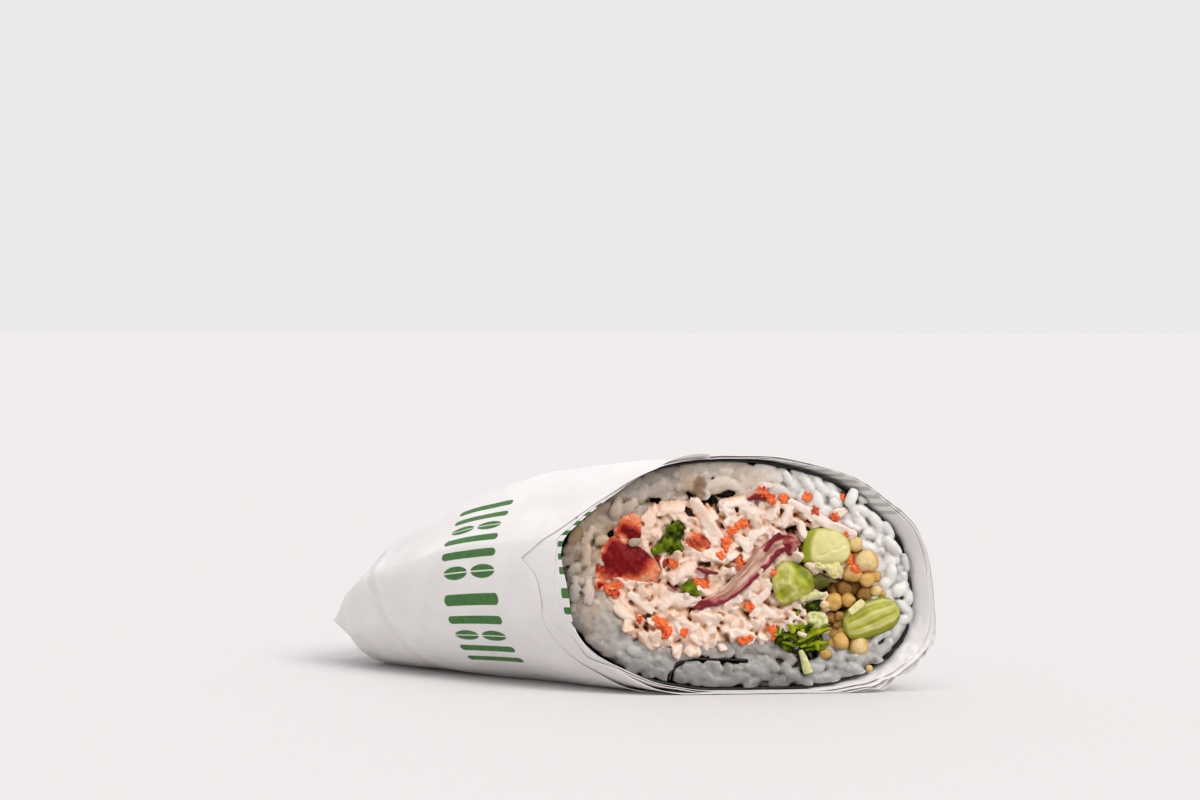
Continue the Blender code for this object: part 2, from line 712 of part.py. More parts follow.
def build_leaf(name, material, centre, turn, length, width, level):
    """A small wavy leaf that lies on the face."""
    slant, lean = face_axes(math.radians(turn))
    rows = 6
    columns = 3
    tops = []
    for a in range(rows):
        s = a / (rows - 1) * 2.0 - 1.0
        spread = (1.0 - abs(s) ** 2.2) ** 0.5 * (1.0 + 0.18 * math.sin(9.0 * s)) * 0.5 * width + 0.25
        for b in range(columns):
            t = b / (columns - 1) * 2.0 - 1.0
            lift = level + 0.45 * math.sin(3.0 * t + 4.0 * s) - 0.5 * t * t
            tops.append(on_face(*centre) + slant * s * length * 0.5 + lean * t * spread
                        + FACE_OUT * lift)
    count = len(tops)
    points = tops + [p - FACE_OUT * 0.6 for p in tops]
    faces = []
    for a in range(rows - 1):
        for b in range(columns - 1):
            i = a * columns + b
            faces.append((i, i + 1, i + columns + 1, i + columns))
            faces.append((count + i + 1, count + i, count + i + columns, count + i + columns + 1))
    rim = [b for b in range(columns)]
    rim += [a * columns + columns - 1 for a in range(1, rows)]
    rim += [(rows - 1) * columns + b for b in range(columns - 2, -1, -1)]
    rim += [a * columns for a in range(rows - 2, 0, -1)]
    for k, i in enumerate(rim):
        j = rim[(k + 1) % len(rim)]
        faces.append((j, i, count + i, count + j))
    return make_object(name, points, faces, material)


def build_pearls():
    """The heap of crisp pearls: a hollowed bed with the pearls fused on."""
    pearl = surface("crunch_pearl", (0.55, 0.33, 0.12), 0.40)
    bed = slab(((29.0, 6.2), (33.6, 4.6), (35.4, 0.0), (34.6, -4.4), (29.0, -5.2), (27.4, -9.5),
                (26.2, -15.4), (29.0, -17.6), (26.0, -18.8), (21.4, -18.2), (21.8, -12.0),
                (22.8, -6.4), (25.2, -1.6), (27.6, 2.0)), -2.6, 8.0, 0.9, 0.2)
    heap = make_object("crunch_pearls", bed[0], bed[1], pearl)
    axes = (FACE_RIGHT, FACE_UP, FACE_OUT)
    shapes = []
    for number, (u, v, size) in enumerate(PEARLS):
        level = -1.4 + 0.7 * math.sin(number * 2.3)
        shapes.append(ball(on_face(u, v, level), axes, (size, size * 0.95, size), 2, 0.08, number))
    fuse(heap, shapes)
    return heap


def build_herbs():
    """The bunch of herb leaves and stalks at the lower right of the filling."""
    green = surface("herb_bunch", (0.09, 0.18, 0.02), 0.50)
    bed = slab(((9.0, -14.9), (13.0, -13.2), (19.4, -15.0), (20.2, -17.4), (15.4, -18.8),
                (11.0, -18.0)), -1.6, 7.0, 0.9, 0.2)
    bunch = make_object("herb_bunch", bed[0], bed[1], green)
    shapes = []
    for number in range(9):
        turn = math.radians(-12.0 + 34.0 * math.sin(number * 1.9))
        along, across = face_axes(turn)
        centre = on_face(10.4 + 1.04 * number, -16.2 + 1.1 * math.sin(number * 2.7),
                         -0.6 + 0.5 * math.cos(number * 1.3))
        shapes.append(strip(centre, along, across, FACE_OUT, (5.6, 1.1, 1.3)))
    fuse(bunch, shapes)
    return bunch


def build_rice(pieces):
    """The rice layer with loose grains standing out of its cut face."""
    section = rice_outline()
    rice = layer_body("rice_layer", section, surface("rice", (0.62, 0.63, 0.62), 0.38, 0.2))
    grains = []
    draw = random.Random(31)
    for u, v, turn, length, width in scatter(section, GRAIN_COUNT, GRAIN_SPACE,
                                             GRAIN_LONG, GRAIN_WIDE, 12):
        along, across = face_axes(turn)
        centre = on_face(u, v, draw.uniform(-0.35, 0.45))
        grains.append(spindle(centre, along, across, FACE_OUT, (length, width, 2.5)))
    along, across = face_axes(math.radians(68.0))
    grains.append(spindle(on_face(28.0, 18.4, 1.2), along, across, FACE_OUT, (5.6, 3.2, 2.6)))
    fuse(rice, grains)
    carve(rice, pieces)
    return rice


def build_filling(pieces):
    """The crab salad: a core along the whole roll, with shreds and roe fused on."""
    section = core_outline()
    count = len(section)
    centre = Vector((0.6, 30.5))
    rings = []
    for x in FOOD_STATIONS:
        rings.append([Vector((x, *squeeze(p.x, p.y, x))) for p in section])
    for share in (1.0, 0.9, 0.7, 0.48, 0.25):
        ring = []
        for p in section:
            q = centre + (p - centre) * share
            spot = at_cut(q.x, q.y)
            swell = 0.0
            if share < 0.95:
                swell = 0.8 + 1.4 * noise.noise(spot * 0.16 + Vector((3.0, 1.0, 7.0)))
            ring.append(spot + FACE_OUT * swell)
        rings.append(ring)
    points, faces = loft(rings)
    faces.pop()
    tip = len(points)
    points.append(at_cut(centre.x, centre.y) + FACE_OUT * 1.2)
    base = (len(rings) - 1) * count
    for i in range(count):
        faces.append((base + i, base + (i + 1) % count, tip))
    salad = make_object("crab_salad", points, faces, surface("crab_salad", (0.78, 0.58, 0.50), 0.42))
    shapes = []
    draw = random.Random(77)
    spots = scatter(section, SHRED_COUNT, 3.5, SHRED_LONG, (1.8, 2.5), 5)
    for u, v, turn, length, width in spots:
        along, across = face_axes(turn)
        level = draw.uniform(0.7, 1.9)
        tilt = draw.uniform(-0.25, 0.25)
        lifted = (along + FACE_OUT * tilt).normalized()
        out = lifted.cross(across).normalized()
        shapes.append(strip(on_face(u, v, level), lifted, across, out, (length, width, 1.9)))
    axes = (FACE_RIGHT, FACE_UP, FACE_OUT)
    for number, (u, v, size) in enumerate(MASAGO_SPOTS):
        if fits(section, u, v, size * 1.15, 0.25):
            shapes.append(ball(on_face(u, v, 1.9), axes, (size, size * 0.7, 1.1), 1, 0.3, number))
    fuse(salad, shapes)
    carve(salad, pieces)
    return salad


def main():
    clear_scene()
    build_wrapper()
    build_seaweed()
    pieces = build_face_pieces()
    heap = build_pearls()
    bunch = build_herbs()
    carve(heap, [pieces[name] for name in ("edamame_cut", "edamame_dark", "edamame_striped",
                                           "pale_green_slice")])
    carve(bunch, [pieces["edamame_crinkled"], pieces["pale_green_slice"], pieces["pale_stem"], heap])
    others = list(pieces.values()) + [heap, bunch]
    build_rice(others)
    build_filling(others)


main()
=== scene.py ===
"""Sushi burrito: the lying half of a cut roll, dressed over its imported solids.

Sizes in the code are millimetres from the middle of the cut, with X along the
roll, until row() turns them into metres in the frame of the solids.
"""

import json
import math

import bpy
import numpy as np
from bpy.props import FloatProperty, FloatVectorProperty, IntProperty, PointerProperty
from mathutils import Matrix, Vector, kdtree

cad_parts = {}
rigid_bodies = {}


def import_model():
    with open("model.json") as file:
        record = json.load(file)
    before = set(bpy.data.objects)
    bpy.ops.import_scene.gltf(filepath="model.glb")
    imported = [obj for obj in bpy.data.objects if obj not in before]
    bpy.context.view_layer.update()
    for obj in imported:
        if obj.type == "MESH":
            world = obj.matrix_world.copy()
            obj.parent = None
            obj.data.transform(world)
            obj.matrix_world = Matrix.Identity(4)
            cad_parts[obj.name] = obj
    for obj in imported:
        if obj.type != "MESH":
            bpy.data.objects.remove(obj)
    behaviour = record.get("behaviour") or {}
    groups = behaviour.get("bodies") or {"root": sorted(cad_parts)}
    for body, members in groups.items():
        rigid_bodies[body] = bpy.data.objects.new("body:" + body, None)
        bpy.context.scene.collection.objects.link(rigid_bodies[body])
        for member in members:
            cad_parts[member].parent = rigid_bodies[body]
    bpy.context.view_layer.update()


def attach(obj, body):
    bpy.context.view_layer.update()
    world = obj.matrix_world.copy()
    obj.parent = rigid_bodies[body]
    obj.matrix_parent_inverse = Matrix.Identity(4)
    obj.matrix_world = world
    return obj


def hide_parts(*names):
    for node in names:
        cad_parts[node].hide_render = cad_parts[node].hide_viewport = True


bl_info = {
    "name": "Sushi Burrito Half",
    "version": (1, 0, 0),
    "blender": (4, 5, 0),
    "location": "View3D > Sidebar > Sushi Roll",
    "description": "Models the looks of a cut sushi burrito in its paper wrapper",
    "category": "Object",
}

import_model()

# Shape of the roll, as in its solids.
MIDDLE_X = -42.37
TIP_X = -122.5
TOP_LINE = ((TIP_X, 11.4), (-119.5, 15.6), (-114.5, 25.0), (-106.0, 33.2), (-96.0, 38.4),
            (-86.0, 42.8), (-76.0, 46.8), (-66.0, 50.0), (-56.0, 52.2),
            (-31.0, 56.0), (0.0, 58.0), (60.0, 58.0))
LOW_LINE = ((TIP_X, 10.4), (-119.5, 8.2), (-114.5, 4.5), (-108.5, 0.1), (-107.0, 0.0), (60.0, 0.0))
WIDTH_LINE = ((TIP_X, 0.54), (-119.5, 0.60), (-114.5, 0.69), (-106.0, 0.81), (-96.0, 0.89),
              (-86.0, 0.94), (-76.0, 0.97), (-66.0, 0.99), (-56.0, 1.0), (60.0, 1.0))
UPPER_PRESS = ((20.0, 0.0), (36.0, -0.8), (52.0, 0.0), (108.0, 0.0), (126.0, -1.1),
               (138.0, -1.7), (149.0, -1.2), (162.0, 0.0))
LOWER_PRESS = ((208.0, 0.0), (225.0, -0.6), (240.0, -1.0), (255.0, -0.9), (275.0, -0.8),
               (292.0, -0.9), (312.0, -0.5), (330.0, -0.2), (345.0, 0.0))
PRESS_SHARE = ((0.0, 0.0), (1.0, 1.0), (3.0, 1.0), (7.5, 0.0))

# How far each turn of paper stands past the cut (+) or stops short of it (-),
# by the angle round the roll: 0 is +Y, 90 the top, 180 the side of the camera.
OUTER_EDGE = ((0, 2.6), (35, 3.4), (70, 2.6), (92, 2.4), (108, 4.0), (117, 4.6), (124, 3.4),
              (131, 2.2), (140, 0.4), (149, -0.9), (157, -2.8), (163, -5.9), (167, -8.2),
              (171, -10.9), (173.5, -9.6), (177, -7.6), (181, -6.2), (185, -6.1), (189, -6.7),
              (193, -7.3), (200, -7.1), (209, -6.7), (220, -6.1), (232, -5.4), (243, -3.8),
              (256, -0.6), (270, 2.0), (300, 3.3), (330, 3.1), (360, 2.6))
TURN_EDGE = ((0, 1.6), (90, 0.5), (130, -2.0), (150, -8.0), (171, -13.0), (186, -9.0),
             (190.5, -5.6), (194, -4.9), (199, -2.7), (203, -0.8), (209, -1.2), (214, -1.6),
             (222, 1.9), (235, 3.4), (250, 3.4), (270, 3.3), (300, 4.1), (330, 2.6), (360, 1.6))
MIDDLE_EDGE = ((0, 3.2), (35, 3.9), (70, 3.0), (95, 1.8), (115, 2.4), (130, 1.6), (137, 1.3),
               (144, 0.5), (152, 0.0), (158, -0.8), (162, -1.4), (167, -0.6), (175, -0.8),
               (181, -1.7), (185, -1.5), (189, -0.4), (194, 0.8), (201, 1.1), (212, 0.7),
               (225, 2.0), (240, 2.4), (270, 2.6), (300, 4.2), (330, 4.0), (360, 3.2))
INNER_EDGE = ((0, 2.7), (35, 3.5), (70, 2.6), (95, 1.8), (112, 2.0), (122, 2.4), (129, 2.3),
              (136, 1.6), (143, 1.2), (152, 0.8), (160, 0.5), (167, 0.5), (175, 1.3),
              (183, 2.0), (190, 1.4), (202, 0.6), (212, 0.9), (222, 2.0), (240, 2.2),
              (270, 1.8), (300, 3.0), (330, 3.1), (360, 2.7))

# Layers of the roll, measured in from the outside of the wrapper.
OUTER_IN, TURN_IN, MIDDLE_IN, INNER_IN, SHEET_IN = 0.02, 0.36, 0.70, 1.12, 1.75
SEAWEED_THICK, SEAWEED_SPACE = 0.35, 0.3
# Where the seaweed and the rice, and the salad behind the cut, end along the roll.
ROLL_END, CORE_END = -96.0, -94.0
# The rice is fused at one voxel size, the salad and the roe at others, in metres.
RICE_VOXEL, SALAD_VOXEL, ROE_VOXEL = 0.00029, 0.00026, 0.00016
# Levels that rice grains lie on: share of them, gap, depth, looseness; then shreds of salad.
RICE_LEVELS = ((0.38, 1.8, -1.55, 0.25), (0.36, 2.0, -0.95, 0.25), (0.26, 2.9, -0.35, 0.30))
SALAD_LEVELS = ((0.32, 1.3, -2.3), (0.36, 1.55, -1.5), (0.32, 2.0, -0.8))
# How far the knife has flattened what stands above its level.
KNIFE_LEVEL, KNIFE_SHARE = -1.0, 0.62
RICE_DEPTH = ((0.0, 8.0), (15.0, 8.0), (45.0, 7.8), (75.0, 8.2), (105.0, 8.4), (140.0, 8.6),
              (170.0, 8.4), (190.0, 7.2), (215.0, 6.3), (235.0, 5.9), (249.0, 6.6), (259.0, 9.4),
              (270.0, 11.2), (300.0, 9.9), (320.0, 8.9), (345.0, 8.0), (360.0, 8.0))
TAIL_PATH = ((-14.6, 3.4), (-14.2, 5.2), (-13.2, 7.0), (-11.4, 8.2), (-8.6, 8.4), (-5.0, 8.1), (-1.0, 7.8))

# What lies on the cut, in millimetres right of its middle and above it.
TUNA_MAIN = ((-32.2, 9.6), (-34.0, 7.1), (-35.2, 3.7), (-36.0, 0.6), (-35.6, -1.2), (-32.8, -1.3),
             (-30.0, -1.2), (-27.7, -1.8), (-25.4, -2.2), (-22.5, -2.6), (-20.0, -2.0),
             (-18.9, 0.4), (-19.4, 2.6), (-20.9, 4.3), (-22.5, 5.8), (-24.8, 7.5), (-27.1, 8.2), (-29.4, 9.5))
TUNA_TOP = ((-31.3, 10.2), (-30.5, 12.4), (-28.8, 14.4), (-26.8, 15.7), (-24.6, 14.6),
            (-23.5, 13.0), (-24.2, 11.2), (-23.9, 9.6), (-25.8, 8.0), (-28.8, 8.6))
TUNA_BIT = ((-36.2, -0.7), (-34.2, -0.9), (-32.3, -2.1), (-33.5, -3.4), (-35.1, -4.0), (-36.2, -2.9))
TUNA_SMALL = ((-14.4, 8.4), (-12.8, 10.2), (-10.6, 10.9), (-8.4, 10.0), (-6.6, 7.9), (-7.0, 5.8),
              (-9.8, 5.2), (-12.9, 6.2))
TUNA_SLIVER = ((-21.2, 4.6), (-19.7, 4.9), (-17.6, 3.0), (-18.9, 1.0), (-20.1, 2.6))
BEAN_CUT = ((15.6, 6.2), (16.2, 9.0), (17.4, 10.8), (20.7, 11.3), (24.2, 10.9), (26.9, 9.0),
            (28.0, 6.4), (27.6, 4.0), (25.9, 2.2), (23.4, 1.4), (21.0, 1.4), (18.8, 1.7),
            (17.2, 2.0), (15.8, 2.6), (15.0, 4.0))
BEAN_FRINGE = ((17.9, 2.9), (20.4, 2.8), (24.8, 3.2), (25.6, 1.2), (24.9, -0.9), (23.6, -1.6),
               (22.2, -0.7), (21.4, 0.8), (19.4, 0.9), (18.0, 1.4))
BEAN_CREASED = ((7.7, -2.2), (8.5, 1.3), (10.7, 3.0), (13.1, 3.3), (14.9, 2.2), (17.1, 0.9),
                (18.6, -1.4), (18.9, -3.8), (17.3, -5.4), (14.7, -6.3), (11.2, -8.1), (8.8, -6.9),
                (8.4, -4.4))
LEAF_UPPER = ((-15.4, 14.0), (-13.0, 11.3), (-13.7, 9.9), (-15.1, 8.5), (-13.6, 6.0),
              (-16.2, 5.2), (-17.9, 5.6), (-19.9, 5.3), (-21.6, 4.4), (-22.1, 6.3),
              (-19.9, 8.2), (-18.2, 10.0), (-18.5, 12.3), (-16.6, 12.2))
LEAF_LOWER = ((-12.6, -0.8), (-11.2, -2.6), (-9.6, -5.8), (-13.1, -4.6), (-15.6, -3.5),
              (-13.9, -2.2))
LEAF_DARK = ((15.4, -7.9), (17.5, -6.9), (19.8, -6.2), (21.0, -6.6), (19.7, -9.3), (18.2, -11.0),
             (16.3, -9.6))
SLICE_PALE = ((16.3, -9.6), (18.8, -9.0), (21.5, -9.8), (22.0, -12.3), (20.2, -14.0),
              (17.5, -13.6), (16.0, -11.8))
ONION_LINE = ((-12.2, -8.6), (-9.6, -7.4), (-6.6, -6.2), (-3.6, -4.9), (-0.8, -2.6), (2.2, 0.2),
              (5.0, 3.2), (7.6, 6.0), (10.2, 7.6), (12.8, 7.2), (15.2, 7.4))
ONION_HALF = ((0.0, 0.3), (0.08, 0.9), (0.22, 1.6), (0.36, 1.9), (0.5, 2.2), (0.66, 2.5),
              (0.8, 2.2), (0.92, 1.8), (1.0, 1.0))
ONION_END = ((10.2, 8.2), (11.6, 9.6), (13.6, 9.9), (14.9, 8.6), (14.4, 6.2), (13.2, 4.2), (11.9, 4.4),
             (11.2, 6.2))
# Pearls: place, height, radius, lightness (painted light and shade, dark for those deep in the cut). Roe: place,
# length, turn, redness. Holes: place, half sizes.
PEARLS = ((31.6, 2.9, 0.8, 3.1, 0.9), (28.2, 0.0, 0.1, 2.5, 0.62), (31.6, -1.7, 0.7, 2.0, 0.72),
          (33.9, -0.9, -0.2, 1.5, 0.5), (29.0, 7.0, 0.2, 2.1, 0.8), (26.2, -3.9, -0.9, 2.3, 0.20),
          (31.2, -5.2, -0.9, 2.3, 0.22), (26.8, -6.7, 0.5, 2.05, 0.52), (23.3, -7.0, 0.0, 2.3, 0.66),
          (35.8, -5.2, -0.2, 1.1, 0.55), (33.8, -4.4, 0.3, 1.5, 0.95), (24.7, -10.6, -0.4, 1.5, 0.32),
          (22.7, -10.9, -0.9, 1.6, 0.14), (22.9, -14.9, -0.6, 1.9, 0.22), (25.3, -14.3, -0.6, 1.4, 0.28),
          (24.9, -16.8, 0.2, 2.3, 0.62), (29.4, -18.0, 0.1, 2.4, 0.84), (30.6, -19.3, -0.5, 1.5, 0.8),
          (21.2, -19.4, -0.5, 1.8, 0.6), (22.6, -17.2, -0.8, 1.5, 0.4), (24.5, -12.6, -1.3, 1.7, 0.16),
          (28.6, -3.4, -2.2, 2.4, 0.10), (29.0, -8.0, -2.2, 2.2, 0.10), (24.0, -12.4, -2.6, 2.4, 0.06),
          (24.0, -4.6, -2.4, 2.2, 0.08), (33.6, -3.0, -1.9, 1.9, 0.25), (27.0, -17.2, -1.9, 2.2, 0.2),
          (26.6, -10.4, -1.6, 1.8, 0.12), (29.4, 3.6, -0.9, 2.0, 0.3), (20.9, -7.8, 0.6, 1.2, 1.0))
ROE = ((6.3, 19.7, 4.6, -24, 0.75), (8.0, 18.0, 2.2, -60, 0.35), (11.3, 18.4, 2.2, 80, 0.0),
       (17.1, 18.7, 2.2, -15, 0.1), (19.1, 15.4, 1.7, -18, 0.9), (23.8, 13.7, 2.1, -40, 0.3),
       (26.7, 9.2, 0.9, 0, 0.1), (26.0, 18.8, 0.8, 0, 0.0), (0.7, 12.3, 2.9, 15, 0.1),
       (-1.8, 10.7, 2.7, 30, 0.2), (-3.4, 8.3, 2.4, 65, 0.3), (-4.9, 4.7, 1.6, 20, 0.35),
       (-3.4, 6.6, 1.2, 0, 0.1), (0.1, 2.7, 2.6, -65, 0.2), (8.7, -0.1, 2.2, -35, 0.1),
       (2.0, -8.2, 2.1, -10, 0.15), (27.8, 2.8, 3.8, -58, 0.1), (28.8, 0.8, 2.2, -50, 0.35),
       (-20.6, -11.3, 2.6, -35, 0.3), (-18.7, -12.6, 4.2, -48, 0.12), (-18.6, -14.7, 1.8, -30, 0.6),
       (-14.2, -14.4, 2.0, -20, 0.2), (1.0, -16.2, 3.6, 12, 0.15), (7.9, -14.6, 3.6, -72, 0.2),
       (-31.6, -2.6, 4.4, 12, 0.5), (-31.3, -4.4, 2.6, -20, 0.9), (-16.6, 2.8, 2.4, -20, 0.4),
       (-10.2, -2.1, 3.0, -8, 0.15), (-8.4, -2.2, 1.4, 0, 0.0), (-25.2, -11.0, 1.2, 0, 0.6))
HOLES = ((-21.4, 18.0, 2.5, 1.5), (-13.0, 19.5, 2.9, 1.5), (-7.2, 17.9, 2.6, 1.9),
         (-2.4, 19.9, 3.2, 1.2), (-31.9, 10.3, 1.4, 1.0), (-10.9, 14.2, 1.3, 2.4),
         (12.7, 10.6, 2.0, 1.3), (21.6, -3.6, 3.4, 1.6), (18.5, 13.6, 1.0, 0.9),
         (24.4, -11.0, 2.6, 4.0), (-37.2, 6.2, 0.9, 0.6), (3.4, 21.0, 0.7, 1.2),
         (-36.0, -11.6, 0.8, 0.6), (15.4, -21.4, 2.3, 3.4), (19.4, -19.6, 1.6, 1.4),
         (-15.8, -22.9, 1.4, 1.6), (30.2, -3.4, 3.6, 3.4), (27.6, -16.6, 2.6, 1.8), (29.0, 5.0, 1.8, 2.6))
# Grains that stand out: place, turn, length, width, lift, warmth.
GRAINS = ((28.2, 19.0, 66, 6.0, 3.1, 1.9, 0.0), (38.3, 6.6, -46, 6.6, 3.2, 0.9, 0.0),
          (34.4, 13.0, -50, 5.4, 2.7, 0.4, 0.0), (37.5, 10.6, -60, 5.0, 2.5, 0.3, 0.0),
          (31.4, 15.4, -30, 5.2, 2.6, 0.3, 0.0), (42.3, 1.4, -78, 7.6, 3.1, -0.4, 0.0),
          (37.8, 0.2, 82, 4.6, 2.9, 0.9, 0.05), (36.5, -2.4, 40, 3.8, 2.8, 0.7, 0.05),
          (39.7, -4.2, 30, 4.2, 3.6, 0.5, 0.0), (42.2, -6.2, 72, 4.2, 3.0, 0.2, 0.0),
          (40.8, -8.4, -40, 4.4, 2.7, 0.4, 0.0), (42.6, -10.6, 70, 4.6, 2.6, 0.0, 0.0),
          (40.5, -11.6, 15, 4.2, 2.8, 0.2, 0.0), (38.6, -14.4, 60, 4.6, 2.9, 0.1, 0.0),
          (-37.3, 9.8, 60, 5.6, 2.8, 0.4, 0.4), (-37.9, 4.6, 84, 6.6, 2.9, 0.5, 0.55),
          (-40.9, -3.3, 84, 6.8, 3.3, 0.6, 0.25), (-37.6, -3.9, 88, 7.2, 3.2, 0.8, 0.35),
          (-41.6, -9.2, 70, 5.2, 3.0, 0.2, 0.15), (-30.4, 16.3, 70, 4.9, 3.6, 0.9, 0.7),
          (-27.0, 16.9, 38, 5.0, 3.4, 0.8, 0.75), (-34.0, 8.6, 15, 3.8, 2.6, 1.1, 0.8),
          (-25.9, 8.1, 12, 3.7, 2.3, 2.0, 0.9), (-40.4, 1.8, 30, 5.0, 2.6, -0.2, 0.45),
          (24.6, 19.0, -28, 5.6, 2.6, 0.2, 0.0), (20.8, 21.4, -52, 5.4, 2.4, 0.3, 0.0),
          (17.2, 22.6, -58, 5.2, 2.4, 0.3, 0.0), (12.6, 23.4, -62, 5.0, 2.4, 0.4, 0.05),
          (28.6, 16.2, -66, 4.4, 2.4, 0.6, 0.0), (31.4, 18.4, -20, 4.6, 2.6, 0.1, 0.0))
# Brown stains in the rice: place, half sizes, strength.
STAINS = ((-9.5, 21.2, 1.9, 3.0, 0.9), (-21.5, 17.8, 2.6, 1.2, 0.9), (-28.3, 18.6, 1.8, 0.9, 0.6),
          (-40.0, 5.2, 1.5, 1.5, 0.7), (-38.6, 1.8, 1.2, 0.8, 0.7), (-35.0, 6.8, 1.1, 0.8, 0.8),
          (-14.0, 20.6, 3.2, 1.6, 0.5), (-31.8, 11.4, 2.2, 1.6, 0.6), (-33.0, 14.0, 2.4, 1.2, 0.35),
          (-2.6, 20.0, 3.0, 1.0, 0.7), (10.5, -20.6, 2.6, 1.2, 0.5), (3.0, -19.6, 3.6, 0.8, 0.45),
          (-24.0, -14.6, 3.0, 1.0, 0.35), (19.0, -19.0, 1.6, 1.2, 0.4), (33.0, -21.4, 1.2, 0.8, 0.6),
          (-36.4, -12.0, 1.4, 1.0, 0.3))
# Shreds and lumps of the salad that stand out, in the same order.
SHREDS = ((-7.9, 13.2, -56, 15.0, 4.2, 0.9, 0.35), (-17.2, 16.2, -8, 7.4, 4.6, 0.7, 0.45),
          (-21.6, 14.6, 35, 6.0, 4.4, 0.6, 0.5), (-13.5, 13.4, -62, 6.6, 3.2, 0.9, 0.4),
          (-22.0, 10.0, -30, 5.8, 3.4, 0.8, 0.5), (-1.6, 17.4, 5, 8.8, 3.4, 0.8, 0.1),
          (-2.2, 14.4, -68, 6.6, 2.3, 1.4, 0.05), (3.6, 15.6, -35, 7.8, 3.0, 1.0, 0.05),
          (15.4, 16.4, -28, 8.0, 2.6, 1.2, 0.0), (20.8, 12.9, -42, 11.0, 2.9, 1.3, 0.05),
          (26.2, 10.6, -18, 6.8, 3.2, 1.0, 0.05), (15.7, 10.6, -74, 5.6, 2.8, 1.6, 0.15),
          (11.6, 13.6, 70, 5.4, 3.0, 1.2, 0.1), (1.2, 7.4, -65, 5.2, 2.8, 1.1, 0.15),
          (4.2, 9.8, 25, 6.4, 3.6, 0.8, 0.1), (25.4, 15.3, 40, 5.4, 3.4, 0.9, 0.1),
          (6.6, 21.8, 20, 5.0, 3.0, 0.5, 0.3), (-6.4, 4.6, -20, 8.0, 4.6, 0.9, 0.15),
          (-14.6, 0.4, 24, 8.6, 4.0, 0.7, 0.2), (-8.4, -10.6, -15, 8.0, 4.2, 0.7, 0.1),
          (-24.6, -6.8, -38, 9.0, 2.9, 0.9, 0.25), (-18.4, -6.8, 30, 7.0, 3.6, 0.8, 0.2),
          (-12.8, -6.6, -30, 6.4, 3.8, 0.8, 0.15), (4.4, -6.8, 40, 7.6, 2.4, 1.1, 0.1),
          (7.2, -9.6, -50, 5.6, 2.6, 0.7, 0.15), (-28.6, -9.6, -55, 6.0, 3.0, 0.7, 0.3))

HERB_BASE = ((8.0, -15.6), (10.4, -13.4), (13.4, -12.6), (16.4, -12.0), (19.6, -12.6), (20.6, -15.0), (20.4, -18.0),
             (17.6, -19.4), (14.6, -20.2), (11.6, -19.4), (9.2, -17.8))
# Blades of the herb bunch: root, tip, half width, lift, brightness, which is painted light and shade.
HERB_BLADES = (((13.8, -17.0), (22.4, -13.6), 0.75, 0.9, 0.72), ((14.6, -16.4), (22.0, -12.6), 0.6, 0.5, 0.6),
               ((14.4, -18.2), (22.2, -17.2), 0.85, 0.8, 0.7), ((15.6, -18.9), (21.0, -18.6), 0.6, 0.2, 0.6),
               ((14.0, -15.6), (19.6, -11.0), 0.5, 0.3, 0.3), ((12.4, -16.6), (16.6, -12.6), 0.6, 0.6, 0.25),
               ((9.4, -15.0), (14.6, -16.8), 0.7, 0.7, 0.3), ((8.2, -16.2), (13.4, -18.2), 0.7, 0.5, 0.5),
               ((12.0, -12.8), (14.6, -9.4), 0.8, 0.2, 0.6), ((13.4, -11.2), (15.8, -8.0), 0.6, 0.1, 0.45),
               ((14.6, -14.4), (17.6, -13.0), 0.5, 0.9, 0.15), ((16.0, -17.6), (19.4, -15.8), 0.5, 1.1, 0.12))

HALF_WIDTH, AXIS_HEIGHT = 31.9, 29.0
CUT_TURN, CUT_ROLL = math.radians(46.0), math.radians(10.0)
OUT = np.array((1.0, -math.tan(CUT_TURN) * math.cos(CUT_ROLL), math.tan(CUT_TURN) * math.sin(CUT_ROLL)))
OUT /= np.linalg.norm(OUT)
RIGHT = np.cross((0.0, 0.0, 1.0), OUT)
RIGHT /= np.linalg.norm(RIGHT)
UP = np.cross(OUT, RIGHT)
FACE = np.stack((RIGHT, UP, OUT))
MIDDLE = np.array((0.0, 0.0, AXIS_HEIGHT))


def curve_value(table, x):
    """Reads a table of (place, value) with a smooth line that never overshoots."""
    xs, ys = np.array(table, float).T
    x = np.asarray(x, float)
    step = np.diff(xs)
    slope = np.diff(ys) / step
    lean = np.zeros_like(xs)
    lean[0], lean[-1] = slope[0], slope[-1]
    same = slope[:-1] * slope[1:] > 0
    lean[1:-1] = np.where(same, 2 * slope[:-1] * slope[1:] / np.where(same, slope[:-1] + slope[1:], 1), 0)
    k = np.clip(np.searchsorted(xs, x, side="right") - 1, 0, len(xs) - 2)
    t = np.clip((x - xs[k]) / step[k], 0, 1)
    return ((1 + 2 * t) * (1 - t) ** 2 * ys[k] + t * (1 - t) ** 2 * step[k] * lean[k]
            + t * t * (3 - 2 * t) * ys[k + 1] + t * t * (t - 1) * step[k] * lean[k + 1])


def smooth_step(low, high, x):
    t = np.clip((np.asarray(x, float) - low) / (high - low), 0, 1)
    return t * t * (3 - 2 * t)


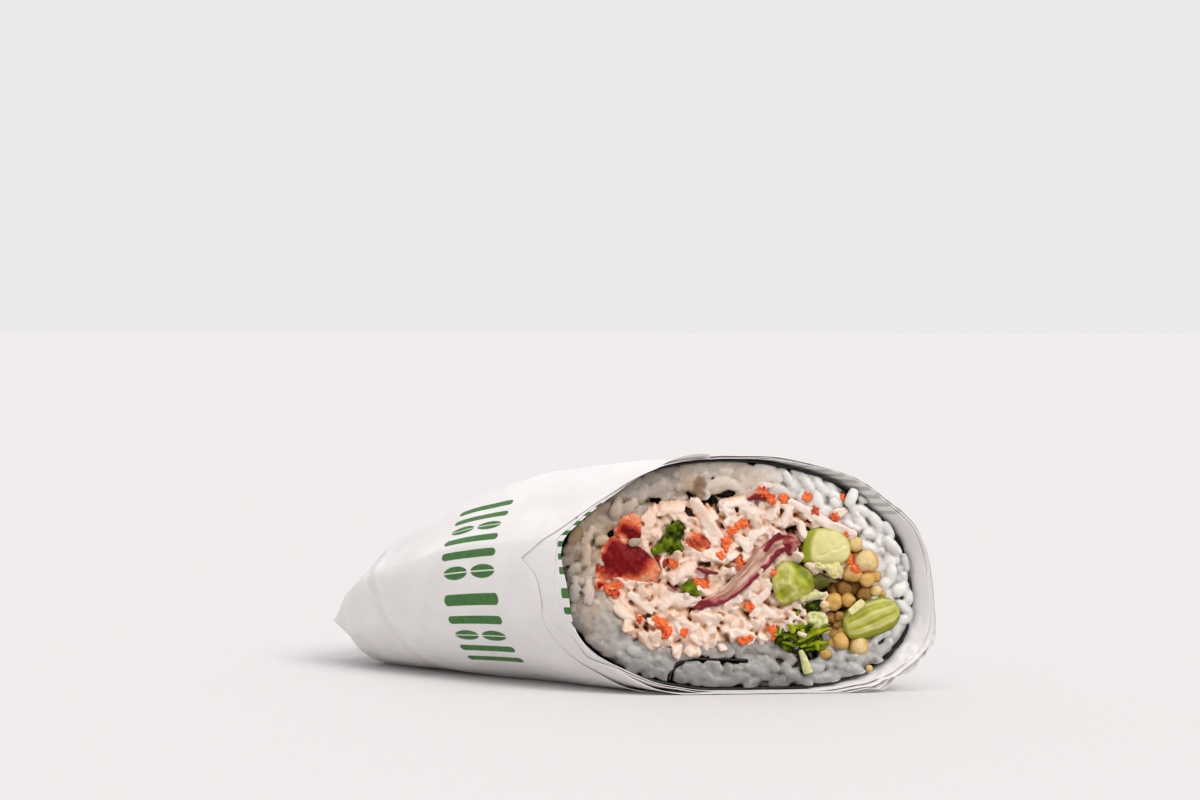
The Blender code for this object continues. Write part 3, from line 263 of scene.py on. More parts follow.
def roll_outline(degrees, inset, x):
    """The section of the roll at x: y and z of the point at an angle, inset from the wrapper."""
    turn = np.mod(degrees, 360.0)
    angle = np.radians(turn)
    top = curve_value(TOP_LINE, x) - inset
    low = curve_value(LOW_LINE, x) + inset
    half = 0.5 * (top - low)
    side, rise = np.cos(angle), np.sin(angle)
    upper = turn <= 180
    power = np.where(upper, 2 / 2.3, 2 / 2.8)
    reach = np.where(upper, half, half * (1 + 1.0 / AXIS_HEIGHT))
    y = np.sign(side) * np.abs(side) ** power * (HALF_WIDTH * curve_value(WIDTH_LINE, x) - inset)
    z = 0.5 * (top + low) + np.sign(rise) * np.abs(rise) ** power * reach
    press = np.where(upper, curve_value(UPPER_PRESS, turn),
                     curve_value(LOWER_PRESS, turn) * curve_value(PRESS_SHARE, inset))
    return y + side * press, np.maximum(z + rise * press, low)


def keep_in(points):
    """Pulls millimetre points that stand out of the seaweed back to its inner side."""
    x, y, z = np.asarray(points, float).T
    inset = sheet_inset(np.degrees(np.arctan2(z - AXIS_HEIGHT, y)) % 360.0) + SEAWEED_THICK + 0.05
    top, low = curve_value(TOP_LINE, x) - inset, curve_value(LOW_LINE, x) + inset
    middle, half = 0.5 * (top + low), 0.5 * (top - low)
    wide = HALF_WIDTH * curve_value(WIDTH_LINE, x) - inset
    power = np.where(z > middle, 2.3, 2.8)
    level = ((np.abs(y) / wide) ** power + (np.abs(z - middle) / half) ** power) ** (1 / power)
    share = 1 / np.maximum(level, 1.0)
    return np.column_stack((x, y * share, middle + (z - middle) * share))


def cut_x(y, z):
    return math.tan(CUT_TURN) * (y * math.cos(CUT_ROLL) - (z - AXIS_HEIGHT) * math.sin(CUT_ROLL))


def edge_x(degrees, inset, past=0.0):
    """Where the skin of the roll at an angle meets the cut, or a distance past it."""
    x = np.zeros(np.shape(degrees))
    for _ in range(8):
        x = cut_x(*roll_outline(degrees, inset, x)) + past
    return x


def face_of(points):
    """Millimetre points to right, up and out of the cut."""
    return (np.asarray(points, float) - MIDDLE) @ FACE.T


def from_face(points):
    """Right, up and out of the cut to millimetre points."""
    return np.asarray(points, float) @ FACE + MIDDLE


def row(points):
    return (np.asarray(points, float) - (MIDDLE_X, 0.0, 0.0)) * 0.001


def unrow(points):
    return np.asarray(points, float) * 1000.0 + (MIDDLE_X, 0.0, 0.0)


# Large odd numbers that scatter the noise's cells.
CELL_STEPS = (73856093, 19349663, 83492791)
MIX_STEPS = ((13, 1274126177), (15, 2246822519))
SEED_STEP, SEED_LIMIT = 2654435761, 4294967291


def cloud(points, size, seed=0):
    """Soft noise from -1 to 1 over points, its lumps about one size across."""
    spot = np.asarray(points, float) / size + 1000.0
    cell = np.floor(spot).astype(np.int64)
    part = spot - cell
    part = part * part * (3 - 2 * part)
    total = np.zeros(len(spot))
    for corner in np.ndindex(2, 2, 2):
        mix = (seed * SEED_STEP % SEED_LIMIT) ^ np.bitwise_xor.reduce((cell + corner) * CELL_STEPS, axis=1)
        for shift, factor in MIX_STEPS:
            mix = ((mix ^ (mix >> shift)) * factor) & 0xFFFFFFFF
        weight = np.prod(np.where(corner, part, 1 - part), axis=1)
        total += (((mix ^ (mix >> 16)) & 0xFFFF) / 32767.5 - 1) * weight
    return total


def flat_cloud(u, v, size, seed=0):
    """The same noise over places on the cut."""
    return cloud(np.column_stack((u, v, np.full(len(u), 3.3))), size, seed)


def resample(outline, count, closed=True, soft=2):
    """An outline or line cut into even steps and rounded a little."""
    line = np.array(outline, float)
    if closed:
        line = np.vstack((line, line[:1]))
    for _ in range(soft):
        mids = np.empty((2 * len(line) - 2, line.shape[1]))
        mids[0::2] = 0.75 * line[:-1] + 0.25 * line[1:]
        mids[1::2] = 0.25 * line[:-1] + 0.75 * line[1:]
        line = np.vstack((mids, mids[:1])) if closed else np.vstack((line[:1], mids, line[-1:]))
    run = np.concatenate(((0,), np.cumsum(np.linalg.norm(np.diff(line, axis=0), axis=1))))
    at = np.linspace(0, run[-1], count + 1)[:-1] if closed else np.linspace(0, run[-1], count)
    return np.stack([np.interp(at, run, line[:, k]) for k in range(line.shape[1])], axis=1)


def from_spot(points, spot, grow=0.0):
    """How far points on the cut lie from the middle of an oval spot, in its own half sizes."""
    u, v, wide, high = spot[:4]
    return np.hypot((points[:, 0] - u) / (wide + grow), (points[:, 1] - v) / (high + grow))


def edge_distance(points, outline):
    """Distance of each point to a closed outline, positive inside."""
    points = np.asarray(points, float)
    ends = np.array(outline, float)
    starts = np.roll(ends, 1, axis=0)
    best = np.full(len(points), 1e9)
    inside = np.zeros(len(points), bool)
    for a, b in zip(starts, ends):
        along = b - a
        t = np.clip(((points - a) @ along) / max(along @ along, 1e-12), 0, 1)
        best = np.minimum(best, np.linalg.norm(points - a - t[:, None] * along, axis=1))
        cross = (a[1] > points[:, 1]) != (b[1] > points[:, 1])
        with np.errstate(divide="ignore", invalid="ignore"):
            side = (b[0] - a[0]) * (points[:, 1] - a[1]) / (b[1] - a[1]) + a[0]
        inside ^= cross & (points[:, 0] < side)
    return np.where(inside, best, -best)


def ring_line(inset, count=240):
    """A closed line on the cut; inset gives its depth in from the wrapper for each angle."""
    turn = np.arange(count) * 360.0 / count
    depth = inset(turn)
    x = np.zeros(count)
    for _ in range(8):
        y, z = roll_outline(turn, depth, x)
        x = cut_x(y, z)
    return face_of(np.stack((x, y, z), axis=1))[:, :2]


def sheet_inset(turn):
    """The seaweed lies close to the paper on the side of the camera and stands off it elsewhere."""
    return SHEET_IN - 0.80 * smooth_step(55, 95, turn) * (1 - smooth_step(285, 325, turn))


PAPER_PRESS = ((0.0, 0.9), (35.0, 0.8), (65.0, 0.55), (100.0, 0.5), (200.0, 0.5), (240.0, 0.6), (300.0, 0.6),
               (335.0, 0.8), (360.0, 0.9))


def paper_inset(inset, turn):
    """The turns of paper are pressed together, most on the side of the camera."""
    return inset * curve_value(PAPER_PRESS, turn)


RICE_GAP = ((0.0, 0.3), (40.0, 0.6), (75.0, 0.2), (105.0, 0.1), (125.0, 0.0), (196.0, 0.0),
            (215.0, 0.35), (240.0, 0.3), (290.0, 0.15), (325.0, 0.15), (360.0, 0.3))
RICE_LINE = ring_line(lambda turn: sheet_inset(turn) + SEAWEED_THICK + curve_value(RICE_GAP, turn))
FILL_LINE = ring_line(lambda turn: SHEET_IN + SEAWEED_THICK + SEAWEED_SPACE + curve_value(RICE_DEPTH, turn)
                      + 0.7 * np.sin(np.radians(turn * 5)) + 0.5 * np.sin(np.radians(turn * 9 + 40)))


# Mesh work --------------------------------------------------------------------

def alone():
    for other in bpy.context.view_layer.objects:
        other.select_set(False)


def pick(piece):
    alone()
    piece.select_set(True)
    bpy.context.view_layer.objects.active = piece
    return piece


def start(name):
    """Names the primitive that was just added."""
    piece = bpy.context.active_object
    piece.name = piece.data.name = name
    return piece


def grid(name, wide, high):
    alone()
    bpy.ops.mesh.primitive_grid_add(x_subdivisions=wide, y_subdivisions=high, size=1.0)
    return start(name)


def ball(name, segments, rings):
    alone()
    bpy.ops.mesh.primitive_uv_sphere_add(segments=segments, ring_count=rings, radius=1.0)
    return start(name)


def spots(piece):
    found = np.empty(len(piece.data.vertices) * 3)
    piece.data.vertices.foreach_get("co", found)
    return found.reshape(-1, 3)


def move(piece, points):
    piece.data.vertices.foreach_set("co", np.asarray(points, float).ravel())
    piece.data.update()
    return piece


def on_cut(piece):
    """A piece's points as millimetres right, up and out of the cut."""
    return face_of(unrow(spots(piece)))


def put(piece, points):
    """Moves a piece's points to millimetres right, up and out of the cut."""
    return move(piece, row(from_face(points)))


def normals(piece):
    found = np.empty(len(piece.data.vertices) * 3)
    piece.data.vertices.foreach_get("normal", found)
    return found.reshape(-1, 3)


def mark(piece, **values):
    """Writes one number a vertex for the finish to read."""
    for name, numbers in values.items():
        layer = piece.data.attributes.get(name) or piece.data.attributes.new(name, "FLOAT", "POINT")
        layer.data.foreach_set("value", np.broadcast_to(np.asarray(numbers, float),
                                                        (len(piece.data.vertices),)).astype(np.float32))
    return piece


def marks(piece, name):
    found = np.empty(len(piece.data.vertices), np.float32)
    piece.data.attributes[name].data.foreach_get("value", found)
    return found


def weld(piece, gap=1e-6, outward=True):
    pick(piece)
    bpy.ops.object.mode_set(mode="EDIT")
    bpy.ops.mesh.select_all(action="SELECT")
    bpy.ops.mesh.remove_doubles(threshold=gap)
    if outward:
        bpy.ops.mesh.normals_make_consistent(inside=False)
    bpy.ops.object.mode_set(mode="OBJECT")
    return piece


def turn_out(piece):
    """Turns a closed piece's faces outwards where they all look in."""
    tris = piece.data
    tris.calc_loop_triangles()
    index = np.empty(len(tris.loop_triangles) * 3, np.int32)
    tris.loop_triangles.foreach_get("vertices", index)
    a, b, c = spots(piece)[index.reshape(-1, 3)].transpose(1, 0, 2)
    if np.einsum("ij,ij->i", a, np.cross(b, c)).sum() < 0:
        tris.flip_normals()
    return piece


def finish_with(piece, kind, **settings):
    """Adds a modifier and applies it."""
    pick(piece)
    made = piece.modifiers.new(kind.title(), kind)
    for name, value in settings.items():
        setattr(made, name, value)
    bpy.ops.object.modifier_apply(modifier=made.name)
    return piece


def thin_out(piece, hidden, share):
    """Merges faces where they can't be seen, so that the detail stays where it shows."""
    group = piece.vertex_groups.new(name="hidden")
    group.add(np.flatnonzero(hidden).tolist(), 1.0, "REPLACE")
    finish_with(piece, "DECIMATE", ratio=share, vertex_group="hidden")
    piece.vertex_groups.clear()
    return piece


def smooth(piece, angle=None):
    pick(piece)
    if angle is None:
        bpy.ops.object.shade_smooth()
    else:
        bpy.ops.object.shade_smooth_by_angle(angle=math.radians(angle))
    return piece


def join(name, pieces):
    pieces = list(pieces)
    pick(pieces[0])
    for other in pieces[1:]:
        other.select_set(True)
    if len(pieces) > 1:
        bpy.ops.object.join()
    return start(name)


def turns_of(along, away):
    """Turns whose first axis is along and third leans away, one a copy."""
    first = along / np.linalg.norm(along, axis=1, keepdims=True)
    third = away - np.sum(away * first, axis=1, keepdims=True) * first
    third /= np.linalg.norm(third, axis=1, keepdims=True)
    return np.stack((first, np.cross(third, first), third), axis=1)


def copies(name, shapes, places, turns, sizes, which):
    """One mesh of many copies of a few modelled shapes."""
    points, faces, sizes_of, parts = [], [], [], []
    count = 0
    for shape in shapes:
        mesh = shape.data
        index = np.empty(len(mesh.loops), np.int32)
        mesh.loops.foreach_get("vertex_index", index)
        total = np.empty(len(mesh.polygons), np.int32)
        mesh.polygons.foreach_get("loop_total", total)
        parts.append((spots(shape), index, total))
    for k in range(len(places)):
        base, index, total = parts[which[k]]
        points.append((base * sizes[k]) @ turns[k] + places[k])
        faces.append(index + count)
        sizes_of.append(total)
        count += len(base)
    mesh = bpy.data.meshes.new(name)
    index, total = np.concatenate(faces), np.concatenate(sizes_of)
    mesh.vertices.add(count)
    mesh.vertices.foreach_set("co", row(np.concatenate(points)).ravel())
    mesh.loops.add(len(index))
    mesh.loops.foreach_set("vertex_index", index.astype(np.int32))
    mesh.polygons.add(len(total))
    mesh.polygons.foreach_set("loop_start", np.concatenate(((0,), np.cumsum(total)[:-1])).astype(np.int32))
    mesh.update(calc_edges=True)
    mesh.validate()
    piece = bpy.data.objects.new(name, mesh)
    bpy.context.collection.objects.link(piece)
    return smooth(piece)


def drop(*pieces):
    for piece in pieces:
        bpy.data.objects.remove(piece, do_unlink=True)


def dress(piece, nodes, slot, *finishes):
    """Gives a finished piece its materials and its body, and hides the solids that it stands for."""
    piece.data.materials.clear()
    for finish in finishes:
        piece.data.materials.append(finish)
    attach(piece, "root")
    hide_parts(*((nodes,) if isinstance(nodes, str) else nodes))
    return piece


def chunk(name, outline, front=0.0, dome=0.8, deep=5.0, rim=0.7, segments=96, rings=44, rough=0.25,
          lump=3.0, seed=1, middle=None):
    """A piece set in the face: a traced outline with a domed front, a rounded rim and a body behind."""
    line = resample(outline, segments)
    centre = np.array(middle if middle is not None else line.mean(axis=0), float)
    piece = ball(name, segments, rings)
    unit = spots(piece)
    turn = np.mod(np.arctan2(unit[:, 1], unit[:, 0]) / (2 * math.pi), 1.0) * segments
    low = np.floor(turn + 1e-4).astype(int) % segments
    edge = line[low] - centre
    t = np.arccos(np.clip(unit[:, 2], -1, 1)) / math.pi
    wide = np.interp(t, (0.0, 0.56, 0.64, 0.70, 0.75, 1.0), (0.0, 0.90, 0.975, 1.0, 1.0, 0.0))
    fall = np.interp(t, (0.0, 0.56, 0.64, 0.70, 0.75, 0.93, 1.0), (0.0, 0.12, 0.42, 1.0, 1.6, 1.6, 1.6))
    back_share = 0.75  # of the outline's width, behind the rim
    shrink = np.cos(np.pi * 0.5 * np.clip((t - 0.75) / 0.14, 0, 1))
    wide = np.where(t > 0.75, back_share + (1 - back_share) * shrink, wide)
    wide = np.where(t > 0.89, back_share * np.clip((1 - t) / 0.11, 0, 1), wide)
    depth = front + dome * (1 - np.minimum(wide, 1) ** 2) - rim * np.minimum(fall, 1.0) - dome
    depth = np.where(t > 0.70, front - dome - rim - (deep - rim) * np.clip((t - 0.70) / 0.2, 0, 1), depth)
    depth += dome
    flat = centre + edge * wide[:, None]
    points = np.column_stack((flat, depth))
    shown = np.clip((0.74 - t) / 0.1, 0, 1)
    points[:, 2] += shown * rough * (cloud(points, lump, seed) + 0.5 * cloud(points, lump * 0.45, seed + 7))
    points[:, :2] += (shown * 0.45 * rough * cloud(points, lump * 0.8, seed + 3))[:, None] * edge / (
        np.linalg.norm(edge, axis=1, keepdims=True) + 1e-6)
    put(piece, points)
    weld(piece, 1e-7)
    return smooth(turn_out(piece))


def limb(name, line, half, thick, lift=0.0, segments=20, rings=60, rough=0.1, lump=2.0, seed=1, power=0.8):
    """A long piece along a line on the face; half gives its half width by the share of its length."""
    path = resample(line, 200, closed=False, soft=3)
    piece = ball(name, segments, rings)
    unit = spots(piece)
    share = np.arccos(np.clip(unit[:, 2], -1, 1)) / math.pi
    around = np.arctan2(unit[:, 1], unit[:, 0])
    at = np.column_stack([np.interp(share * 199, np.arange(200), path[:, k]) for k in range(path.shape[1])])
    ahead = np.gradient(path[:, :2], axis=0)
    ahead /= np.linalg.norm(ahead, axis=1, keepdims=True)
    dirs = np.column_stack([np.interp(share * 199, np.arange(200), ahead[:, k]) for k in range(2)])
    side = np.column_stack((-dirs[:, 1], dirs[:, 0]))
    close = np.clip(np.minimum(share, 1 - share) / 0.06, 0, 1) ** 0.5
    width = (np.interp(share, *np.array(half).T) if np.ndim(half) else half) * close
    rise = (np.interp(share, *np.array(thick).T) if np.ndim(thick) else thick) * close
    across = np.sign(np.cos(around)) * np.abs(np.cos(around)) ** power
    out = np.sign(np.sin(around)) * np.abs(np.sin(around)) ** power
    level = at[:, 2] if path.shape[1] > 2 else lift
    points = np.column_stack((at[:, :2] + side * (across * width)[:, None], level + out * rise))
    points += rough * np.column_stack([cloud(points, lump, seed + k) for k in range(3)])
    put(piece, points)
    mark(piece, along=share, across=across)
    weld(piece, 1e-7)
    return smooth(turn_out(piece))


# Finishes -----------------------------------------------------------------------

class Shade:
    """A socket that can be used in sums; each step adds one Math node."""

    def __init__(self, finish, socket):
        self.finish, self.socket = finish, socket

    def step(self, operation, *others):
        sockets = {0: self}
        sockets.update({k + 1: other for k, other in enumerate(others)})
        return self.finish.add("ShaderNodeMath", {"operation": operation}, sockets)

    def __add__(self, other): return self.step("ADD", other)
    def __radd__(self, other): return self.step("ADD", other)
    def __sub__(self, other): return self.step("SUBTRACT", other)
    def __rsub__(self, other):
        return self.finish.add("ShaderNodeMath", {"operation": "SUBTRACT"}, {0: other, 1: self})

    def __mul__(self, other): return self.step("MULTIPLY", other)
    def __rmul__(self, other): return self.step("MULTIPLY", other)
    def __truediv__(self, other): return self.step("DIVIDE", other)
    def __pow__(self, other): return self.step("POWER", other)
    def __abs__(self): return self.step("ABSOLUTE")
    def low(self, other): return self.step("MINIMUM", other)
    def high(self, other): return self.step("MAXIMUM", other)
    def wrap(self, size): return self.step("FLOORED_MODULO", size)
    def floor(self): return self.step("FLOOR")
    def held(self): return self.high(0.0).low(1.0)

    def ramp(self, low, high):
        """0 below low, 1 above high and smooth between."""
        return self.finish.add("ShaderNodeMapRange", {"interpolation_type": "SMOOTHSTEP"},
                               {0: self, 1: low, 2: high, 3: 0.0, 4: 1.0})


class Finish:
    """A node material with its Principled shader."""

    def __init__(self, name, **constants):
        self.material = bpy.data.materials.new(name)
        self.material.use_nodes = True
        self.tree = self.material.node_tree
        self.shader = self.tree.nodes["Principled BSDF"]
        for key, value in constants.items():
            self.shader.inputs[key.replace("_", " ")].default_value = value
        self.bumps = None

    def link(self, socket, value):
        if isinstance(value, Shade):
            self.tree.links.new(value.socket, socket)
        else:
            socket.default_value = value

    def add(self, kind, settings=None, values=None, out=0):
        node = self.tree.nodes.new(kind)
        for key, value in (settings or {}).items():
            setattr(node, key, value)
        for key, value in (values or {}).items():
            self.link(node.inputs[key], value)
        return Shade(self, node.outputs[out])

    def noise(self, size, detail=3.0, rough=0.55):
        """Noise on the piece's own coordinates; size is the lumps' size in millimetres."""
        spot = self.add("ShaderNodeTexCoord", out=3)
        return self.add("ShaderNodeTexNoise", {}, {"Vector": spot, "Scale": 1000.0 / size, "Detail": detail,
                                                   "Roughness": rough})

    def mark(self, name):
        return self.add("ShaderNodeAttribute", {"attribute_name": name}, out=2)

    def mix(self, share, first, second, blend="MIX"):
        def colour(value):
            return value if isinstance(value, Shade) else (*value[:3], 1.0)
        node = {"data_type": "RGBA", "blend_type": blend, "clamp_factor": True}
        return self.add("ShaderNodeMix", node, {0: share, 6: colour(first), 7: colour(second)}, 2)

    def bump(self, height, strength, distance):
        values = {"Height": height, "Strength": strength, "Distance": distance * 0.001}
        if self.bumps is not None:
            values["Normal"] = self.bumps
        self.bumps = self.add("ShaderNodeBump", {}, values)

    def done(self, colour, roughness=0.5):
        self.link(self.shader.inputs["Base Color"], colour if isinstance(colour, Shade) else (*colour, 1.0))
        self.link(self.shader.inputs["Roughness"], roughness)
        if self.bumps is not None:
            self.link(self.shader.inputs["Normal"], self.bumps)
        return self.material


def tone(red, green, blue):
    """A colour as it is seen on a screen, 0 to 255, to the numbers that the shader takes."""
    return tuple((c / 255.0 / 12.92) if c <= 10.3 else ((c / 255.0 + 0.055) / 1.055) ** 2.4
                 for c in (red, green, blue))


def colour_setting(name, description, *screen):
    return FloatVectorProperty(name=name, description=description, subtype="COLOR", size=3, min=0.0, max=1.0,
                               default=tone(*screen))


def length_setting(name, description, default, low, high, precision=5):
    return FloatProperty(name=name, description=description, default=default, min=low, max=high, unit="LENGTH",
                         precision=precision)


class RollSizes(bpy.types.PropertyGroup):
    """Sizes and amounts of the roll."""
    paper_thick: length_setting("Paper Thickness", "Thickness of one turn of the wrapper", 0.00012, 0.00005, 0.0005)
    ripple: length_setting("Paper Ripple", "How far the wrapper waves in and out", 0.00035, 0.0, 0.001)
    grain_length: length_setting("Grain Length", "Length of a common rice grain", 0.0058, 0.004, 0.008, 4)
    grain_width: length_setting("Grain Width", "Width of a common rice grain", 0.0029, 0.002, 0.004, 4)
    grains: IntProperty(name="Rice Grains", description="Grains on the cut", default=760, min=100, max=1200)
    flakes: IntProperty(name="Salad Flakes", description="Shreds of salad on the cut", default=2700, min=200,
                        max=4000)
    roe_size: length_setting("Roe Size", "Diameter of one egg of the roe", 0.00058, 0.0004, 0.0015)


class RollColours(bpy.types.PropertyGroup):
    """Colours of the roll and its stage."""
    paper: colour_setting("Paper", "White of the wrapper", 230, 225, 224)
    print_green: colour_setting("Print", "Green of the printed bars", 40, 102, 24)
    seaweed: colour_setting("Seaweed", "Near black of the seaweed", 19, 19, 14)
    rice: colour_setting("Rice", "White of the rice in the light", 214, 211, 207)
    rice_warm: colour_setting("Stained Rice", "Rice that the sauce has coloured", 214, 174, 124)
    salad: colour_setting("Salad", "Cream of the crab salad", 220, 203, 191)
    # salad_deep is painted shade, laid in the hollows between the shreds.
    salad_deep: colour_setting("Salad Shade", "Orange brown between the shreds", 140, 86, 42)
    roe: colour_setting("Roe", "Orange of the roe", 224, 92, 34)
    tuna: colour_setting("Tuna", "Red inside the tuna", 112, 5, 8)
    tuna_rim: colour_setting("Tuna Rim", "Orange pink at the rim of the tuna", 196, 98, 54)
    onion: colour_setting("Onion", "Flesh of the red onion", 204, 172, 152)
    onion_skin: colour_setting("Onion Skin", "Crimson edge of the red onion", 112, 10, 30)
    bean: colour_setting("Bean", "Green of the soy beans", 158, 160, 30)
    bean_pale: colour_setting("Cut Bean", "Pale face of a cut bean", 208, 198, 140)
    pearl: colour_setting("Crisp Pearl", "Tan of the crisp pearls", 198, 154, 80)
    herb: colour_setting("Herb", "Green of the herb leaves", 86, 102, 12)
    floor: colour_setting("Floor", "Pale floor and backdrop", 205, 203, 202)


def sizes():
    return bpy.context.scene.roll_sizes


def times(share, colour):
    """A darker or lighter shade of a colour."""
    return tuple(c * share for c in colour)


def colours(name):
    return tuple(getattr(bpy.context.scene.roll_colours, name))


# Finishes of the roll ------------------------------------------------------------

def wrapping_paper(name, column, strength, lanes, wide=9.0, leafs=1.0, lean=0.0, blunt=1.0):
    """Printed wrapping paper: a column of bars lies between two places along the roll.

    Lanes gives the first printed bar's number, how many bars go round before the print
    comes again, and how many are printed; every third bar is a leaf.
    """
    finish = Finish(name, Specular_IOR_Level=0.36, Subsurface_Weight=0.16, Subsurface_Scale=0.0006)
    finish.shader.inputs["Subsurface Radius"].default_value = (1.0, 0.98, 0.95)
    white = colours("paper")
    mottle = finish.noise(9.0, 3.0).ramp(0.3, 0.75)
    colour = finish.mix(mottle, times(0.93, white), white)
    rough = 0.46 + 0.10 * finish.noise(3.0)
    sheet = finish.add("ShaderNodeUVMap", {"uv_map": "sheet"})
    x = finish.add("ShaderNodeSeparateXYZ", {}, {0: sheet}) * 100.0
    turn = finish.add("ShaderNodeSeparateXYZ", {}, {0: sheet}, 1) * 100.0
    x = x - lean * (turn - 165.0)
    lane = turn / wide
    number = lane.floor()
    across = (lane - number - 0.5) * 4.77
    leafy = (1 - abs(number.wrap(3.0) - 1.0).ramp(0.2, 0.4)) * leafs
    first, again, printed = lanes
    shown = 1 - (number - first).wrap(again).ramp(printed - 0.6, printed - 0.4)
    middle, half = 0.5 * (column[0] + column[1]), 0.5 * (column[1] - column[0])
    past = (abs(x - middle) - (half - 1.15 / blunt)).high(0.0) * blunt
    bar = 1 - ((past * past + across * across) ** 0.5).ramp(1.06, 1.2)
    leaf_x = (abs(x - middle) - 0.5 * half) / (0.46 * half)
    leaf = 1 - ((leaf_x * leaf_x + (across / 1.75) * (across / 1.75)) ** 0.5).ramp(0.9, 1.0)
    leaf = leaf * abs(across).ramp(0.10, 0.2)
    ink = (bar * (1 - leafy) + leaf * leafy).held() * shown
    worn = 0.90 + 0.14 * finish.noise(1.6, 4.0)
    colour = finish.mix((ink * worn * strength).low(1.0), colour, colours("print_green"))
    finish.bump(finish.noise(0.5, 3.0), 0.12, 0.10)
    finish.bump(finish.noise(5.0, 4.0, 0.6), 0.30, 0.5)
    return finish.done(colour, rough)


def dried_seaweed():
    finish = Finish("Dried Seaweed", Specular_IOR_Level=0.5)
    tone_of = finish.noise(2.2, 4.0).ramp(0.3, 0.8)
    colour = finish.mix(tone_of, times(0.5, colours("seaweed")),
                        tuple(c * 1.5 + 0.001 for c in colours("seaweed")))
    finish.bump(finish.noise(1.2, 4.0), 0.6, 0.4)
    return finish.done(colour, 0.42 + 0.3 * finish.noise(0.8))


def cooked_rice():
    finish = Finish("Cooked Rice", Subsurface_Weight=0.75, Subsurface_Scale=0.0024, Specular_IOR_Level=0.36)
    finish.shader.inputs["Subsurface Radius"].default_value = (1.0, 0.9, 0.75)
    white = colours("rice")
    # The light mark is painted light and shade: lit rice shows its white, rice in shade is painted down to a sixth of
    # it.
    light = (finish.mark("light") + 0.34 * (finish.noise(1.5, 3.0) - 0.5)).held()
    colour = finish.mix(light, times(0.16, white), white)
    colour = finish.mix((finish.mark("warm") * 0.85).held(), colour, colours("rice_warm"), "MULTIPLY")
    stain = (finish.mark("stain") + 0.5 * (finish.noise(0.9, 4.0) - 0.5)).ramp(0.1, 0.9)
    colour = finish.mix(stain * 0.85, colour, tone(112, 78, 34))
    # pit paints shade in the hollows between the grains, near black in the deepest.
    colour = finish.mix(finish.mark("pit").ramp(0.22, 0.95) * 0.85, colour, tone(104, 90, 70), "MULTIPLY")
    colour = finish.mix(finish.mark("pit").ramp(0.62, 0.95) * 0.92, colour, tone(34, 24, 12))
    finish.bump(finish.noise(0.7, 3.0), 0.25, 0.15)
    return finish.done(colour, 0.30 + 0.25 * finish.noise(0.9))


def crab_salad():
    finish = Finish("Crab Salad", Subsurface_Weight=0.15, Subsurface_Scale=0.0008, Specular_IOR_Level=0.22)
    pit = (finish.mark("pit") + 0.3 * (finish.noise(1.3, 3.0) - 0.5)).held()
    cream = finish.mix(finish.mark("tint").held(), colours("salad"), tone(216, 184, 162))
    # pit paints shade in the hollows between the shreds: tan, then the orange brown of salad_deep, then near black in
    # the deepest.
    colour = finish.mix(pit.ramp(0.10, 0.55), cream, tone(206, 166, 138))
    colour = finish.mix(pit.ramp(0.46, 0.80) * 0.95, colour, colours("salad_deep"))
    colour = finish.mix(pit.ramp(0.74, 0.97) * 0.95, colour, tone(44, 26, 8))
    finish.bump(finish.noise(0.9, 2.0, 0.5), 0.25, 0.22)
    return finish.done(colour, 0.30 + 0.28 * finish.noise(0.8))


def raw_tuna():
    finish = Finish("Raw Tuna", Subsurface_Weight=0.08, Subsurface_Scale=0.001, Specular_IOR_Level=0.12)
    finish.shader.inputs["Subsurface Radius"].default_value = (1.0, 0.25, 0.2)
    edge = (finish.mark("edge") + 0.5 * (finish.noise(1.1, 5.0, 0.7) - 0.5)).held()
    grain = finish.noise(1.3, 4.0, 0.65)
    deep = finish.mix(grain.ramp(0.3, 0.75), times(0.72, colours("tuna")), times(1.2, colours("tuna")))
    colour = finish.mix(edge.ramp(0.12, 0.55), deep, tone(164, 58, 40))
    colour = finish.mix(edge.ramp(0.45, 0.85), colour, colours("tuna_rim"))
    colour = finish.mix(edge.ramp(0.80, 1.05), colour, tone(216, 168, 138))
    finish.bump(grain, 0.30, 0.25)
    return finish.done(colour, 0.40 + 0.2 * finish.noise(0.8))


def red_onion():
    finish = Finish("Red Onion", Subsurface_Weight=0.1, Subsurface_Scale=0.001, Specular_IOR_Level=0.25)
    line = finish.mark("line")
    colour = finish.mix(line.ramp(0.15, 0.85), tone(150, 100, 84), colours("onion"))
    ragged = 0.8 * (finish.noise(0.9, 4.0, 0.65) - 0.5) * (1 - abs(finish.mark("skin") - 0.5))
    skin = (finish.mark("skin") + ragged).held()
    colour = finish.mix(skin.ramp(0.2, 0.55) * 0.6, colour, tone(170, 54, 62))
    colour = finish.mix(skin.ramp(0.45, 0.8), colour, colours("onion_skin"))
    finish.bump(line, 0.25, 0.2)
    return finish.done(colour, 0.28 + 0.2 * finish.noise(1.0))


def soy_bean(name, dark=0.0):
    finish = Finish(name, Subsurface_Weight=0.08, Subsurface_Scale=0.001, Specular_IOR_Level=0.22)
    # pale is the cut face's own colour, and on the creased bean a painted highlight on its crests.
    pale = (finish.mark("pale") + 0.22 * (finish.noise(1.6, 3.0) - 0.5)).held()
    skin = finish.mix(finish.noise(2.4, 3.0).ramp(0.3, 0.75), times(0.72 - 0.58 * dark, colours("bean")),
                      times(1.05 - 0.74 * dark, colours("bean")))
    colour = finish.mix(pale, skin, colours("bean_pale"))
    # The line mark darkens to a deep green: painted shade in folds and on the sides, and on the striped bean also the
    # dark between its stripes.
    line = (finish.mark("line") + 0.35 * (finish.noise(1.2, 4.0) - 0.5) * finish.mark("line")).held()
    colour = finish.mix(line, colour, tone(84, 98, 6))
    finish.bump(finish.noise(1.2, 3.0), 0.22, 0.2)
    return finish.done(colour, 0.32 + 0.25 * finish.noise(0.9))


